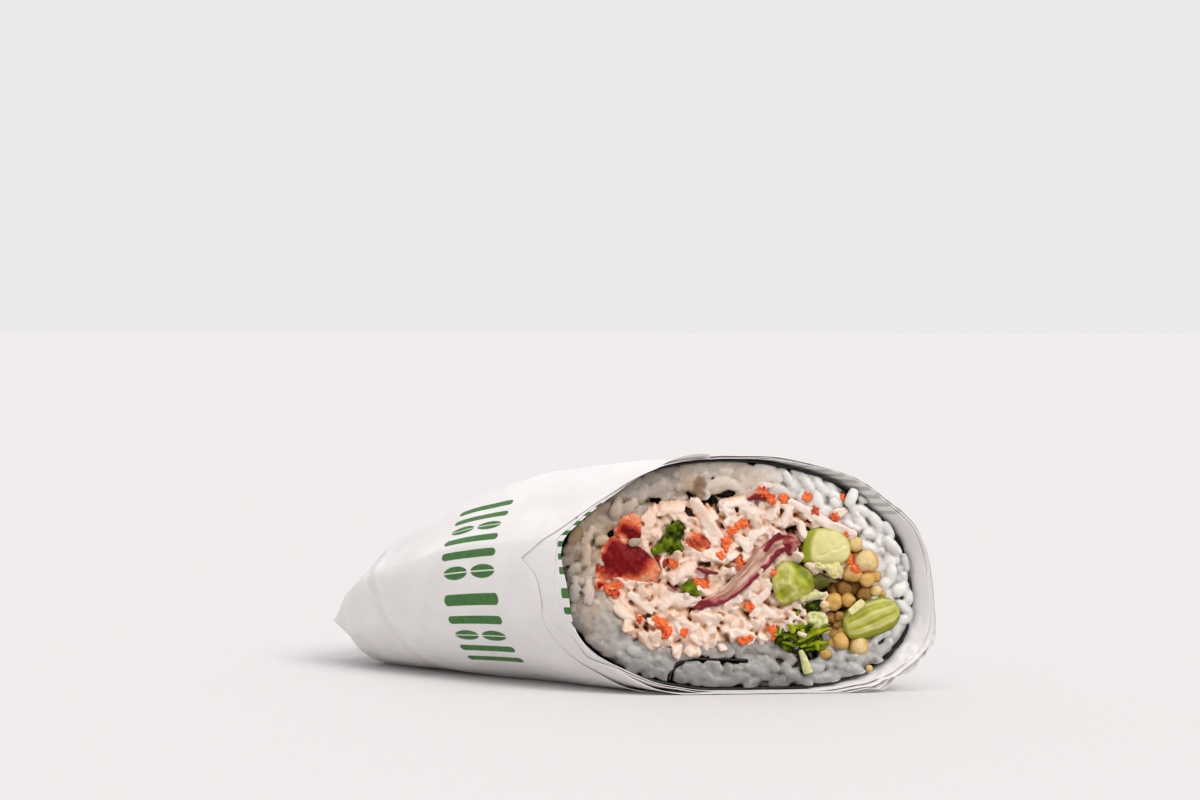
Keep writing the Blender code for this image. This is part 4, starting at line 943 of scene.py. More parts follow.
def crisp_pearl():
    finish = Finish("Crisp Pearl", Subsurface_Weight=0.08, Subsurface_Scale=0.001, Specular_IOR_Level=0.22)
    light = finish.mark("light")
    fine = finish.noise(0.7, 3.0).ramp(0.3, 0.75)
    # The light mark paints shade and highlight: dark brown in shade, the tan of the pearl, a pale highlight where
    # lit.
    colour = finish.mix(light.ramp(0.0, 0.55), tone(96, 54, 10), colours("pearl"))
    colour = finish.mix(light.ramp(0.55, 0.95), colour, tone(216, 192, 140))
    colour = finish.mix(fine * 0.35, colour, times(0.6, colours("pearl")))
    finish.bump(finish.noise(0.8, 3.0), 0.5, 0.3)
    return finish.done(colour, 0.38 + 0.25 * finish.noise(1.0))


def masago():
    finish = Finish("Roe", Subsurface_Weight=0.15, Subsurface_Scale=0.0006, Specular_IOR_Level=0.25)
    colour = finish.mix(finish.mark("red").held(), colours("roe"), tone(160, 20, 10))
    colour = finish.mix(finish.noise(0.8).ramp(0.4, 0.7) * 0.6, colour, tone(240, 138, 70))
    finish.bump(finish.noise(0.6, 2.0), 0.5, 0.2)
    return finish.done(colour, 0.38 + 0.15 * finish.noise(1.0))


def herb_leaf():
    finish = Finish("Herb Leaf", Subsurface_Weight=0.06, Subsurface_Scale=0.001, Specular_IOR_Level=0.04)
    shade = (finish.mark("light") + 0.8 * (finish.noise(1.6, 3.0) - 0.5)).held()
    # The light mark paints light and shade: near black green in shade, a pale yellow-green highlight where lit.
    colour = finish.mix(shade.ramp(0.05, 0.5), tone(30, 40, 4), colours("herb"))
    colour = finish.mix(shade.ramp(0.45, 1.0), colour, tone(154, 160, 22))
    finish.bump(finish.noise(0.9, 4.0), 0.6, 0.3)
    return finish.done(colour, 0.35 + 0.25 * finish.noise(0.8))


def pale_stalk():
    finish = Finish("Pale Stalk", Subsurface_Weight=0.12, Subsurface_Scale=0.001, Specular_IOR_Level=0.25)
    lines = finish.noise(2.0, 3.0, 0.6)
    colour = finish.mix(lines.ramp(0.3, 0.7), tone(164, 166, 92), tone(212, 206, 158))
    finish.bump(finish.noise(1.2, 2.0), 0.3, 0.2)
    return finish.done(colour, 0.34)


# Wrapper -----------------------------------------------------------------------------

def paper_push(x, turn, from_edge, lift, seed):
    """How far the wrapper stands out of its plain shape: shared waves, creases and its own rim."""
    angle = np.radians(turn)
    spot = np.column_stack((x, 32 * np.cos(angle), 28 * np.sin(angle)))
    amount = sizes().ripple * 1000.0
    push = amount * (cloud(spot, 17.0, 3) + 0.5 * cloud(spot, 7.0, 4))
    push += 0.28 * (1 - np.abs(cloud(spot, 22.0, 9)) * 4).clip(0, 1) * smooth_step(-20, -60, x)
    band = smooth_step(112, 132, turn) * (1 - smooth_step(222, 240, turn))
    crease = x - np.interp(turn, (110, 150, 169, 185, 211, 240), (-106, -102, -99, -94, -86.5, -82))
    push += band * (0.55 * np.exp(-np.abs(crease - 1.6) / 1.8) - 0.9 * np.exp(-np.abs(crease + 1.0) / 1.6))
    far = smooth_step(300, 330, turn) + (1 - smooth_step(60, 95, turn)) * (turn < 180)
    pleat = np.abs(np.mod(turn / 13.0 + 0.03 * x, 1.0) - 0.5) * 2 - 0.5
    push += far * smooth_step(-78, -104, x) * 1.3 * pleat
    rim = np.exp(-from_edge / 3.5)
    wave = np.column_stack((turn * 0.5, np.zeros_like(turn), np.full_like(turn, 10.0 * seed)))
    calm = 1 - 0.8 * smooth_step(118, 135, turn) * (1 - smooth_step(205, 222, turn))
    push += rim * lift * calm * (0.45 + 0.8 * cloud(wave, 6.0, seed) + 0.4 * cloud(wave, 2.4, seed + 5))
    if seed < 3:
        push += 0.85 * np.exp(-((turn - 240.0) / 11.0) ** 2) * np.exp(-from_edge / 12.0)
    crumple = smooth_step(288, 302, turn) * (1 - smooth_step(336, 352, turn)) * np.exp(-from_edge / 11.0)
    facets = 1 - 2 * np.abs(cloud(spot + seed * 1.3, 5.5, 20)) + 0.5 * (1 - 2 * np.abs(cloud(spot + seed, 2.6, 21)))
    push += crumple * (1.0 if seed < 3 else 0.45) * (0.85 * facets + (0.9 if seed < 2 else 0.3))
    return push


def rolled_sheet(name, edge, inset, back, steps, lanes, lift, seed, tip=False, flap=None):
    """One turn of paper: a grid laid round the roll with its two sides welded; the wrapper step gives it its
    thickness.
    """
    piece = grid(name, steps, lanes)
    unit = spots(piece)[:, :2] + 0.5
    turn = unit[:, 1] * 360.0
    past = curve_value(edge, turn)
    raised = np.zeros_like(turn)
    if flap is not None:
        middle, wide, reach, rise = flap
        bump = np.clip(1 - ((turn - middle) / wide) ** 2, 0, 1) ** 0.35
        past = past + bump * reach
        raised = bump * rise
    low = inset * 0.5
    inset = paper_inset(inset, turn)
    first = edge_x(turn, inset, past)
    share = unit[:, 0] ** 1.9
    x = first + (back - first) * share
    from_edge = first - x
    push = paper_push(x, turn, from_edge, lift, seed) + raised * np.exp(-from_edge / 3.0)
    calm = 1.0
    if tip:
        calm = smooth_step(TIP_X, TIP_X + 6, x)
    y, z = roll_outline(turn, inset, x)
    angle = np.radians(turn)
    y, z = y + np.cos(angle) * push * calm, z + np.sin(angle) * push * calm
    if tip:
        middle = 0.5 * (curve_value(TOP_LINE, x) + curve_value(LOW_LINE, x))
        z = np.where(unit[:, 0] > 0.9999, middle, z)
    z = np.maximum(z, low + 0.02 + 0.1 * np.clip(cloud(np.column_stack((x, y, z)), 9.0, 6), 0, 1))
    move(piece, row(np.column_stack((x, y, z))))
    sheet = piece.data.uv_layers.new(name="sheet")
    index = np.empty(len(piece.data.loops), np.int32)
    piece.data.loops.foreach_get("vertex_index", index)
    flat = np.column_stack((x / 100.0, turn / 100.0))[index]
    sheet.data.foreach_set("uv", flat.ravel().astype(np.float32))
    weld(piece, 2e-6, outward=False)
    centre = spots(piece).mean(axis=0)
    side = np.einsum("ij,ij->i", normals(piece), (spots(piece) - centre) * (0.2, 1, 1)).sum()
    if side < 0:
        piece.data.flip_normals()
    return piece


class ROLL_OT_wrapper(bpy.types.Operator):
    """Roll the turns of paper round the half, with their own edges at the cut"""
    bl_idname = "roll.wrapper"
    bl_label = "Paper Wrapper"

    def execute(self, context):
        thick = sizes().paper_thick
        outer_print = wrapping_paper("White Wrapping Paper", (-71.0, -52.6), 1.0, (14.0, 60.0, 11.0), lean=0.085)
        inner_print = wrapping_paper("Printed Wrapping Paper", (-33.2, -21.0), 1.0, (18.0, 60.0, 14.0), 6.2, 0.0,
                                     0.11, 6.0)
        inside = wrapping_paper("Inside Of The Paper", (8.0, 29.0), 0.42, (5.0, 60.0, 9.0), 5.4, 0.0)
        outer = rolled_sheet("wrapper_outer", OUTER_EDGE, OUTER_IN, TIP_X, 120, 320, 0.30, 1, tip=True)
        turned = rolled_sheet("wrapper_turn", TURN_EDGE, TURN_IN, -75.0, 60, 300, 0.26, 2)
        middle = rolled_sheet("wrapper_under", MIDDLE_EDGE, MIDDLE_IN, -70.0, 60, 300, 0.24, 3)
        inner = rolled_sheet("wrapper_inner", INNER_EDGE, INNER_IN, -65.0, 70, 320, 0.20, 4,
                             flap=(102.5, 8.0, 2.5, 2.0))
        middle = join("wrapper_middle", (turned, middle))
        for piece, node, slot, face in ((outer, "paper_outer", "paper", outer_print),
                                        (middle, "paper_middle", "paper", outer_print),
                                        (inner, "paper_inner", "printed_paper", inner_print)):
            dress(piece, node, slot, face, inside)
            finish_with(piece, "SOLIDIFY", thickness=thick, offset=-1.0, use_rim=True, material_offset=1)
            smooth(piece, 55)
        return {"FINISHED"}


# Seaweed and rice --------------------------------------------------------------------

def tail_line(count=80):
    """The inner end of the seaweed on the cut, right and up."""
    y, z = resample(TAIL_PATH, count, closed=False).T
    return face_of(np.column_stack((cut_x(y, z), y, z)))[:, :2]


class ROLL_OT_seaweed(bpy.types.Operator):
    """Roll the sheet of seaweed, with its inner end in the rice"""
    bl_idname = "roll.seaweed"
    bl_label = "Seaweed"

    def execute(self, context):
        ring = grid("seaweed_ring", 36, 300)
        unit = spots(ring)[:, :2] + 0.5
        turn, share = unit[:, 1] * 360.0, unit[:, 0] ** 2.2
        inset = sheet_inset(turn) + 0.12 * cloud(np.column_stack((turn * 0.5, share * 40, share)), 5.0, 31)
        spot = np.column_stack((turn * 0.5, np.zeros_like(turn), np.zeros_like(turn)))
        first = edge_x(turn, SHEET_IN, -0.7 + 0.4 * cloud(spot, 4.0, 32) + 0.3 * cloud(spot, 1.5, 33))
        x = first + (ROLL_END - first) * share
        y, z = roll_outline(turn, inset, x)
        move(ring, row(np.column_stack((x, y, z))))
        weld(ring, 2e-6, outward=False)
        tail = grid("seaweed_tail", 14, 90)
        unit = spots(tail)[:, :2] + 0.5
        line = tail_line(91)[np.round(unit[:, 1] * 90).astype(int)]
        bend = 0.25 * flat_cloud(line[:, 0], line[:, 1], 4.0, 35)
        depth = -1.1 + 0.3 * flat_cloud(line[:, 0], line[:, 1], 2.2, 34) - 14.0 * unit[:, 0] ** 1.5
        put(tail, np.column_stack((line[:, 0], line[:, 1] + bend, depth)))
        piece = join("seaweed_roll", (ring, tail))
        finish_with(piece, "SOLIDIFY", thickness=SEAWEED_THICK * 0.001, offset=-1.0, use_rim=True)
        dress(smooth(piece, 50), "seaweed_sheet", "seaweed", dried_seaweed())
        return {"FINISHED"}


def grain_shapes():
    """A few cooked grains, one long, blunt or bent from the next."""
    made = []
    for k in range(5):
        shape = ball("grain_{}".format(k), 10, 8)
        unit = spots(shape)
        long, wide, thick = np.sign(unit[:, 2]) * np.abs(unit[:, 2]) ** 0.85, unit[:, 0], unit[:, 1]
        taper = 1 - (0.06 + 0.05 * k) * long - 0.10 * np.abs(long)
        wide, thick = wide * taper, thick * taper * (0.86 + 0.03 * k)
        bend = (0.10 + 0.05 * (k % 3)) * (long ** 2 - 0.4)
        points = 0.5 * np.column_stack((long, wide + bend, thick))
        points *= (1 + 0.10 * cloud(points + k * 3.1, 0.35, 40 + k))[:, None]
        made.append(move(shape, points))
    return made


def rice_look(points):
    """Painted light and shade of the rice at places on the cut, how stained it is and how flat the knife left it."""
    points = points[:, :2]
    u, v = points.T
    right = smooth_step(4, 32, u)
    # light paints light and shade: the rice on the right lies in the light, the rice towards the bottom in painted
    # shade.
    light = 0.47 + 0.46 * right - 0.10 * smooth_step(-8, -16, v)
    light -= 0.30 * smooth_step(-10, -20, v) * right * (1 - smooth_step(36, 46, u))
    light += 0.20 * smooth_step(10, 15, v) * smooth_step(2, 9, u) + 0.05 * smooth_step(10, 16, v)
    inner = smooth_step(-43, -38, u) * (1 - smooth_step(-33, -28, u))
    inner = inner * smooth_step(-12, -6, v) * (1 - smooth_step(9, 14, v))
    light += 0.26 * inner - 0.06 * (1 - smooth_step(-41, -36, u))
    peach = smooth_step(-17, -11, u) * (1 - smooth_step(4, 12, u)) * smooth_step(14, 18, v)
    light += 0.36 * peach + 0.10 * smooth_step(-14, -26, u) * smooth_step(9, 15, v)
    light += (0.16 * np.exp(-((u + 29) / 7) ** 2 - ((v + 15) / 5) ** 2)
              + 0.12 * np.exp(-((u - 12) / 10) ** 2) * smooth_step(16, 20, v))
    rim = edge_distance(points, RICE_LINE[::3])
    # Next to the wrapper the rice is painted in shade.
    near_rim = (0.24 * (1 - smooth_step(0.3, 4.5, rim))) * (1 - 0.75 * right)
    light -= near_rim * (1 - 0.8 * smooth_step(10, 18, v) * smooth_step(0, 8, u))
    warm = 0.42 * smooth_step(-2, 12, v) * (1 - smooth_step(-16, -8, u)) + 0.16 * inner + 0.42 * peach
    warm += 0.42 * (1 - smooth_step(-38, -26, u)) + 0.10 * (1 - right)
    flat = 1 - 0.5 * smooth_step(6, 26, u) - 0.45 * smooth_step(-17, -22, v) * smooth_step(-14, -6, u)
    return light, warm, np.clip(flat, 0, 1)


def spread(rng, count, gap, allowed, lows, highs, kept=()):
    """Places at least a gap apart where allowed says so."""
    found = [np.array(p, float) for p in kept]
    fixed = len(found)
    for _ in range(40):
        tries = rng.uniform(lows, highs, (count * 4, 2))
        for p in tries[allowed(tries)]:
            if len(found) - fixed >= count:
                break
            if not found or np.min(np.sum((np.array(found) - p) ** 2, axis=1)) > gap * gap:
                found.append(p)
    return np.array(found[fixed:]).reshape(-1, 2)


def pits(u, v, w, reach=3.2, cell=0.5, span=2.4, lift=0.35):
    """How deep each point lies under the level round it, from 0 on top to 1 in a hollow; the finishes paint shade by
    it.
    """
    low = np.array((u.min() - 4, v.min() - 4))
    shape = tuple(np.ceil((np.array((u.max() + 4, v.max() + 4)) - low) / cell).astype(int) + 1)
    top = np.full(shape, -9.0)
    i, j = ((u - low[0]) / cell).astype(int), ((v - low[1]) / cell).astype(int)
    np.maximum.at(top, (i, j), w)
    weight = (top > -8.9).astype(float)
    total = np.where(top > -8.9, np.maximum(top, -3.5), 0.0)
    steps = int(reach / cell)
    for axis in (0, 1):
        total = sum(np.roll(total, k, axis) for k in range(-steps, steps + 1))
        weight = sum(np.roll(weight, k, axis) for k in range(-steps, steps + 1))
    level = (total / np.maximum(weight, 1e-6))[i, j]
    return np.clip((level + lift - w) / span, 0, 1)


def ring_loop(turn, line):
    """A point of a closed line on the cut for each angle round the roll."""
    at = np.arange(len(line) + 1) * 360.0 / len(line)
    return np.column_stack([np.interp(turn, at, np.append(line[:, k], line[0, k])) for k in (0, 1)])


def ring_body(name, major, minor, face_part, depth_of, back_of):
    """A ring of rice between the seaweed and the filling, with its front on the cut."""
    alone()
    bpy.ops.mesh.primitive_torus_add(major_segments=major, minor_segments=minor, major_radius=1.0, minor_radius=0.3)
    piece = start(name)
    unit = spots(piece)
    turn = np.degrees(np.arctan2(unit[:, 1], unit[:, 0])) % 360.0
    part = np.mod(np.arctan2(unit[:, 2], np.hypot(unit[:, 0], unit[:, 1]) - 1.0) / (2 * math.pi), 1.0)
    wall = face_part + 0.04
    across = np.interp(part, (0.0, face_part, wall, 0.94, 1.0), (0.0, 1.0, 1.0, 0.0, 0.0))
    back = np.interp(part, (0.0, face_part, wall, 0.94, 0.98, 1.0), (0.0, 0.0, 1.0, 1.0, 0.0, 0.0))
    outer, inner = ring_loop(turn, RICE_LINE), ring_loop(turn, FILL_LINE) * 0.95
    flat = outer + (inner - outer) * across[:, None]
    front = from_face(np.column_stack((flat, depth_of(flat))))
    behind = back_of(flat, turn, across)
    move(piece, row(front + (behind - front) * back[:, None]))
    weld(piece, 1e-7)
    return turn_out(piece)


def owners(points, places, along, lengths):
    """Which of the long shapes each point belongs to."""
    tree = kdtree.KDTree(3 * len(places))
    for k, place in enumerate(places):
        for step in (-0.3, 0.0, 0.3):
            tree.insert(place + along[k] * lengths[k] * step, k)
    tree.balance()
    return np.array([tree.find(point)[1] for point in points])


class ROLL_OT_rice(bpy.types.Operator):
    """Pack the layer of rice and press its grains together on the cut"""
    bl_idname = "roll.rice"
    bl_label = "Rice"

    def execute(self, context):
        rng = np.random.default_rng(11)
        tail = tail_line(40)

        def near_tail(flat):
            return np.min(np.linalg.norm(flat[:, None] - tail[None], axis=2), axis=1)

        def face_depth(flat):
            u, v = flat.T
            depth = (-1.75 + 0.35 * flat_cloud(u, v, 2.6, 41)
                     + 0.75 * smooth_step(10, 22, u) * smooth_step(-19, -13, v))
            for hole in HOLES:
                depth -= 1.8 * (1 - smooth_step(0.6, 1.2, from_spot(flat, hole)))
            return depth - 2.6 * (1 - smooth_step(0.5, 1.0, near_tail(flat)))

        def shallow(flat, turn, across):
            return from_face(np.column_stack((flat, np.full(len(flat), -5.0))))

        def far_end(flat, turn, across):
            x = np.full_like(turn, ROLL_END)
            inset = SHEET_IN + SEAWEED_THICK + SEAWEED_SPACE + 9.0 * across
            return np.column_stack((x, *roll_outline(turn, inset, x)))

        plate = ring_body("rice_plate", 260, 70, 0.78, face_depth, shallow)
        body = ring_body("rice_body", 120, 24, 0.40, lambda flat: np.full(len(flat), -4.6), far_end)

        long, wide = sizes().grain_length * 1000.0, sizes().grain_width * 1000.0
        heroes = np.array(GRAINS)

        def clear(p):
            space = 0.9 - 0.45 * smooth_step(10, 16, p[:, 1]) * (1 - smooth_step(24, 32, p[:, 0]))
            ok = ((edge_distance(p, RICE_LINE[::3]) > space) & (edge_distance(p, FILL_LINE[::3]) < 0.3)
                  & (near_tail(p) > 1.5))
            for hole in HOLES:
                ok &= from_spot(p, hole, 0.6) > 1
            return ok

        lows, highs = RICE_LINE.min(axis=0), RICE_LINE.max(axis=0)
        places = []
        for level, (share, gap, depth, loose) in enumerate(RICE_LEVELS):
            kept = heroes[:, :2] if level == 2 else ()
            flat = spread(rng, int(sizes().grains * share), gap, clear, lows, highs, kept)
            if level == 1:
                near = np.min(np.linalg.norm(flat[:, None] - heroes[None, :, :2], axis=2), axis=1)
                flat = flat[near > 1.6]
            places.append(np.column_stack((flat, rng.normal(depth, loose, len(flat)))))
        places = np.concatenate(places)
        u, v = places[:, 0], places[:, 1]
        outward = np.column_stack((u / 44.0 ** 2, v / 26.0 ** 2))
        turn = np.arctan2(outward[:, 0], -outward[:, 1]) + rng.normal(0, 0.62, len(u))
        slanted = smooth_step(4, 14, v) * smooth_step(0, 12, u)
        turn = np.where(rng.random(len(u)) < 0.75 * slanted, math.radians(-50) + rng.normal(0, 0.3, len(u)), turn)
        pitch = rng.normal(0, 0.32, len(u))
        end_on = rng.random(len(u)) < 0.22 + 0.2 * smooth_step(-8, -20, v)
        pitch = np.where(end_on, rng.uniform(0.9, 1.4, len(u)), pitch)
        along = np.column_stack((np.cos(turn) * np.cos(pitch), np.sin(turn) * np.cos(pitch), np.sin(pitch)))
        size = np.column_stack((rng.normal(long, 0.6, len(u)), rng.normal(wide, 0.25, len(u)),
                                rng.normal(wide * 0.94, 0.2, len(u))))
        places[:, 2] -= np.abs(np.sin(pitch)) * (long - wide) * 0.45
        light, warm, _ = rice_look(places)
        light = light + rng.normal(0, 0.09, len(u))
        by_filling = smooth_step(2.5, 0.3, -edge_distance(places[:, :2], FILL_LINE[::3]))
        warm = warm * rng.uniform(0.4, 1.4, len(u)) + 0.3 * by_filling

        angle = np.radians(heroes[:, 2])
        hero_light = rice_look(heroes)[0]
        hero_along = np.column_stack((np.cos(angle), np.sin(angle), rng.normal(0, 0.12, len(heroes))))
        lift = (heroes[:, 5] - 0.45 - 0.35 * smooth_step(-10, -30, heroes[:, 0])
                - 0.30 * smooth_step(8, 20, heroes[:, 0]))
        places = np.concatenate((places, np.column_stack((heroes[:, :2], lift))))
        along = np.concatenate((along, hero_along))
        size = np.concatenate((size, np.column_stack((heroes[:, 3], heroes[:, 4], heroes[:, 4] * 0.92))))
        light = np.concatenate((light, hero_light + 0.04))
        warm = np.concatenate((warm, heroes[:, 6]))
        away = np.column_stack((rng.normal(0, 0.4, (len(along), 2)), np.ones(len(along))))
        shapes = grain_shapes()
        grains = copies("rice_grains", shapes, from_face(places), turns_of(along, away) @ FACE, size,
                        rng.integers(0, len(shapes), len(places)))
        drop(*shapes)
        rice = join("rice_ring", (plate, grains))
        finish_with(rice, "REMESH", mode="VOXEL", voxel_size=RICE_VOXEL, use_smooth_shade=True)
        finish_with(rice, "SMOOTH", factor=0.5, iterations=4)
        points = on_cut(rice)
        thin_out(rice, points[:, 2] < -3.3, 0.62)
        points = on_cut(rice)
        owner = owners(points, places, along, size[:, 0])
        field = rice_look(points)
        sliced = field[2] * np.where(owner < len(places) - len(heroes), 1.0, 0.45)
        over = np.clip(points[:, 2] - KNIFE_LEVEL, 0, None)
        points[:, 2] -= over * KNIFE_SHARE * sliced
        slit = near_tail(points[:, :2]) + 0.38 * cloud(points, 1.9, 48) - 0.04
        points[:, 2] -= 2.4 * (1 - smooth_step(0.15, 0.6, slit)) * smooth_step(-4.0, -3.0, points[:, 2])
        move(rice, row(keep_in(from_face(points))))
        move(body, row(keep_in(unrow(spots(body)))))
        # pit measures how deep the rice lies in its hollows, for painted shade there; what lies deep in the cut is
        # painted in full shade.
        pit = 0.7 * pits(points[:, 0], points[:, 1], points[:, 2], 2.6)
        pit += 0.5 * pits(points[:, 0], points[:, 1], points[:, 2], 1.3, 0.35, 0.9, 0.05)
        pit = np.where(points[:, 2] < -4.5, 1.0, np.clip(pit, 0, 1))
        stain = np.zeros(len(points))
        ragged = 0.4 * cloud(points, 1.4, 47)
        for spot in STAINS:
            stain = np.maximum(stain, spot[4] * (1 - smooth_step(0.3, 1.5, from_spot(points, spot) + ragged)))
        mark(rice, light=0.4 * light[owner] + 0.6 * field[0], warm=0.5 * (warm[owner] + field[1]), pit=pit,
             stain=stain)
        # The body of rice behind the cut is painted in shade.
        mark(body, light=0.2, warm=0.5, pit=1.0, stain=0.0)
        rice.data.materials.clear()
        rice = join("rice_ring", (rice, body))
        dress(smooth(rice), "rice_layer", "rice", cooked_rice())
        return {"FINISHED"}


# Filling -------------------------------------------------------------------------------

# No shreds lie where the pearls and the gap below the cut bean are, nor under the big pieces.
PEARL_BED = ((17.6, -4.6), (16.8, 0.8), (21.0, 1.8), (25.0, 0.8), (27.0, 3.6), (33.6, 5.0), (37.0, -3.0),
             (34.8, -7.0), (30.0, -9.4), (27.4, -13.4), (32.0, -19.4), (22.0, -20.6), (21.4, -12.0),
             (20.6, -6.4))
BIG_PIECES = (TUNA_MAIN, TUNA_TOP, TUNA_SMALL, BEAN_CUT, BEAN_CREASED, LEAF_UPPER, LEAF_LOWER, LEAF_DARK,
              SLICE_PALE)


def flake_shapes():
    """Shreds of crab stick: flat, uneven and a little bent."""
    made = []
    for k in range(5):
        shape = ball("flake_{}".format(k), 12, 10)
        unit = spots(shape)
        points = 0.5 * np.sign(unit[:, (2, 0, 1)]) * np.abs(unit[:, (2, 0, 1)]) ** 0.58
        points[:, 1] *= 1 - 0.5 * (points[:, 0] + 0.5) * (k % 3) * 0.5
        points[:, 1] += 0.16 * math.sin(k * 2.1 + 1) * np.sin(points[:, 0] * 4)
        points[:, 2] += 0.25 * math.cos(k * 1.7) * points[:, 0] ** 2
        points *= (1 + 0.36 * cloud(points + k * 2.3, 0.36, 50 + k) + 0.18 * cloud(points + k, 0.18, 60 + k))[:, None]
        made.append(move(shape, points))
    return made


class ROLL_OT_salad(bpy.types.Operator):
    """Fill the roll with crab salad: shreds fused into one mass, with roe on it"""
    bl_idname = "roll.salad"
    bl_label = "Crab Salad"

    def execute(self, context):
        rng = np.random.default_rng(23)
        line = FILL_LINE[::2]
        bed = chunk("salad_bed", FILL_LINE * 1.02, -2.9, 0.5, 7.0, 0.5, 160, 70, 0.8, 3.0, 61, middle=(0.0, 0.5))
        points = on_cut(bed)
        for hole in HOLES:
            points[:, 2] -= 2.6 * (1 - smooth_step(0.5, 1.2, from_spot(points, hole))) * (points[:, 2] > -5)
        put(bed, points)
        standing = np.array(SHREDS)
        tail = tail_line(24)
        onion = resample(ONION_LINE, 40, closed=False)

        def gap_to(p, places):
            return np.min(np.linalg.norm(p[:, None] - places[None], axis=2), axis=1)

        def open_to(depth):
            def allowed(p):
                ok = (edge_distance(p, line) > 0.6) & (edge_distance(p, PEARL_BED) < 0.2) & (gap_to(p, tail) > 2.4)
                for hole in HOLES:
                    ok &= from_spot(p, hole, 0.7) > 1
                if depth:
                    for shape in BIG_PIECES:
                        ok &= edge_distance(p, shape) < (0.5 if shape in (TUNA_MAIN, TUNA_SMALL) else -0.7)
                    ok &= gap_to(p, onion) > 2.2
                return ok
            return allowed

        total = sizes().flakes
        lows, highs = line.min(axis=0), line.max(axis=0)
        places = []
        for level, (share, gap, depth) in enumerate(SALAD_LEVELS):
            flat = spread(rng, int(total * share), gap, open_to(level), lows, highs)
            places.append(np.column_stack((flat, rng.normal(depth, 0.28, len(flat)))))
        places = np.concatenate(places)
        count = len(places)
        turn = rng.uniform(0, math.pi, count)
        pitch = rng.normal(0, 0.42, count)
        size = np.column_stack([rng.uniform(low, high, count) for low, high in ((2.0, 6.2), (1.5, 3.3), (1.1, 1.9))])
        along = np.column_stack((np.cos(turn) * np.cos(pitch), np.sin(turn) * np.cos(pitch), np.sin(pitch)))
        angle = np.radians(standing[:, 2])
        places = np.concatenate((places, np.column_stack((standing[:, :2], standing[:, 5] - 1.2))))
        level_along = np.column_stack((np.cos(angle), np.sin(angle), rng.normal(0, 0.05, len(angle))))
        along = np.concatenate((along, level_along))
        size = np.concatenate((size, standing[:, (3, 4, 4)] * (0.9, 0.9, 0.55)))
        away = np.column_stack((rng.normal(0, 0.35, (len(along), 2)), np.ones(len(along))))
        tint = rng.uniform(0, 0.7, count) + 0.3 * smooth_step(0, -20, places[:count, 0])
        tint = np.concatenate((tint, standing[:, 6]))
        shapes = flake_shapes()
        flakes = copies("salad_flakes", shapes, from_face(places), turns_of(along, away) @ FACE, size,
                        rng.integers(0, len(shapes), len(places)))
        drop(*shapes)
        salad = join("salad_fill", (bed, flakes))
        finish_with(salad, "REMESH", mode="VOXEL", voxel_size=SALAD_VOXEL, use_smooth_shade=True)
        points = on_cut(salad)
        thin_out(salad, points[:, 2] < -4.2, 0.56)
        points = on_cut(salad)
        owner = owners(points, places, along, size[:, 0])
        # pit measures how deep the salad lies in its hollows, for painted shade there; what lies deep in the cut is
        # painted in full shade.
        pit = 0.75 * pits(points[:, 0], points[:, 1], points[:, 2])
        pit += 0.45 * pits(points[:, 0], points[:, 1], points[:, 2], 1.2, 0.3, 0.9, 0.05)
        pit = np.clip(pit, 0, 1)
        grain = cloud(points, 1.6, 71) * 0.10 + cloud(points, 0.7, 72) * 0.08
        points += normals(salad) @ FACE.T * grain[:, None]
        for shape in (TUNA_MAIN, TUNA_TOP, TUNA_SMALL, LEAF_UPPER, LEAF_LOWER):
            covered = smooth_step(0.1, 0.9, edge_distance(points[:, :2], shape))
            points[:, 2] = np.minimum(points[:, 2], 3.0 - 3.9 * covered)
        points[:, 2] = np.minimum(points[:, 2], 3.0 - 2.9 * smooth_step(2.0, 1.1, gap_to(points[:, :2], onion)))
        put(salad, points)
        pit = np.where(points[:, 2] < -5, 1.0, pit)
        upper_left = smooth_step(-2, -26, points[:, 0]) * smooth_step(-4, 8, points[:, 1])
        mark(salad, pit=pit, tint=tint[owner] + 0.3 * upper_left)
        salad.data.materials.clear()

        alone()
        bpy.ops.mesh.primitive_cylinder_add(vertices=96, radius=1.0, depth=2.0)
        core = start("salad_core")
        unit = spots(core)
        turn = np.degrees(np.arctan2(unit[:, 1], unit[:, 0])) % 360.0
        front = from_face(np.column_stack((ring_loop(turn, FILL_LINE) * 0.9, np.full_like(turn, -6.0))))
        x = np.full_like(turn, CORE_END)
        behind = np.column_stack((x, *roll_outline(turn, 12.0, x)))
        move(core, row(np.where((unit[:, 2] > 0)[:, None], front, behind)))
        weld(core)
        # The core behind the cut is painted in shade.
        mark(core, pit=0.8, tint=0.3)
        salad = join("salad_fill", (salad, turn_out(core)))
        dress(smooth(salad), "crab_salad", "crab_salad", crab_salad())

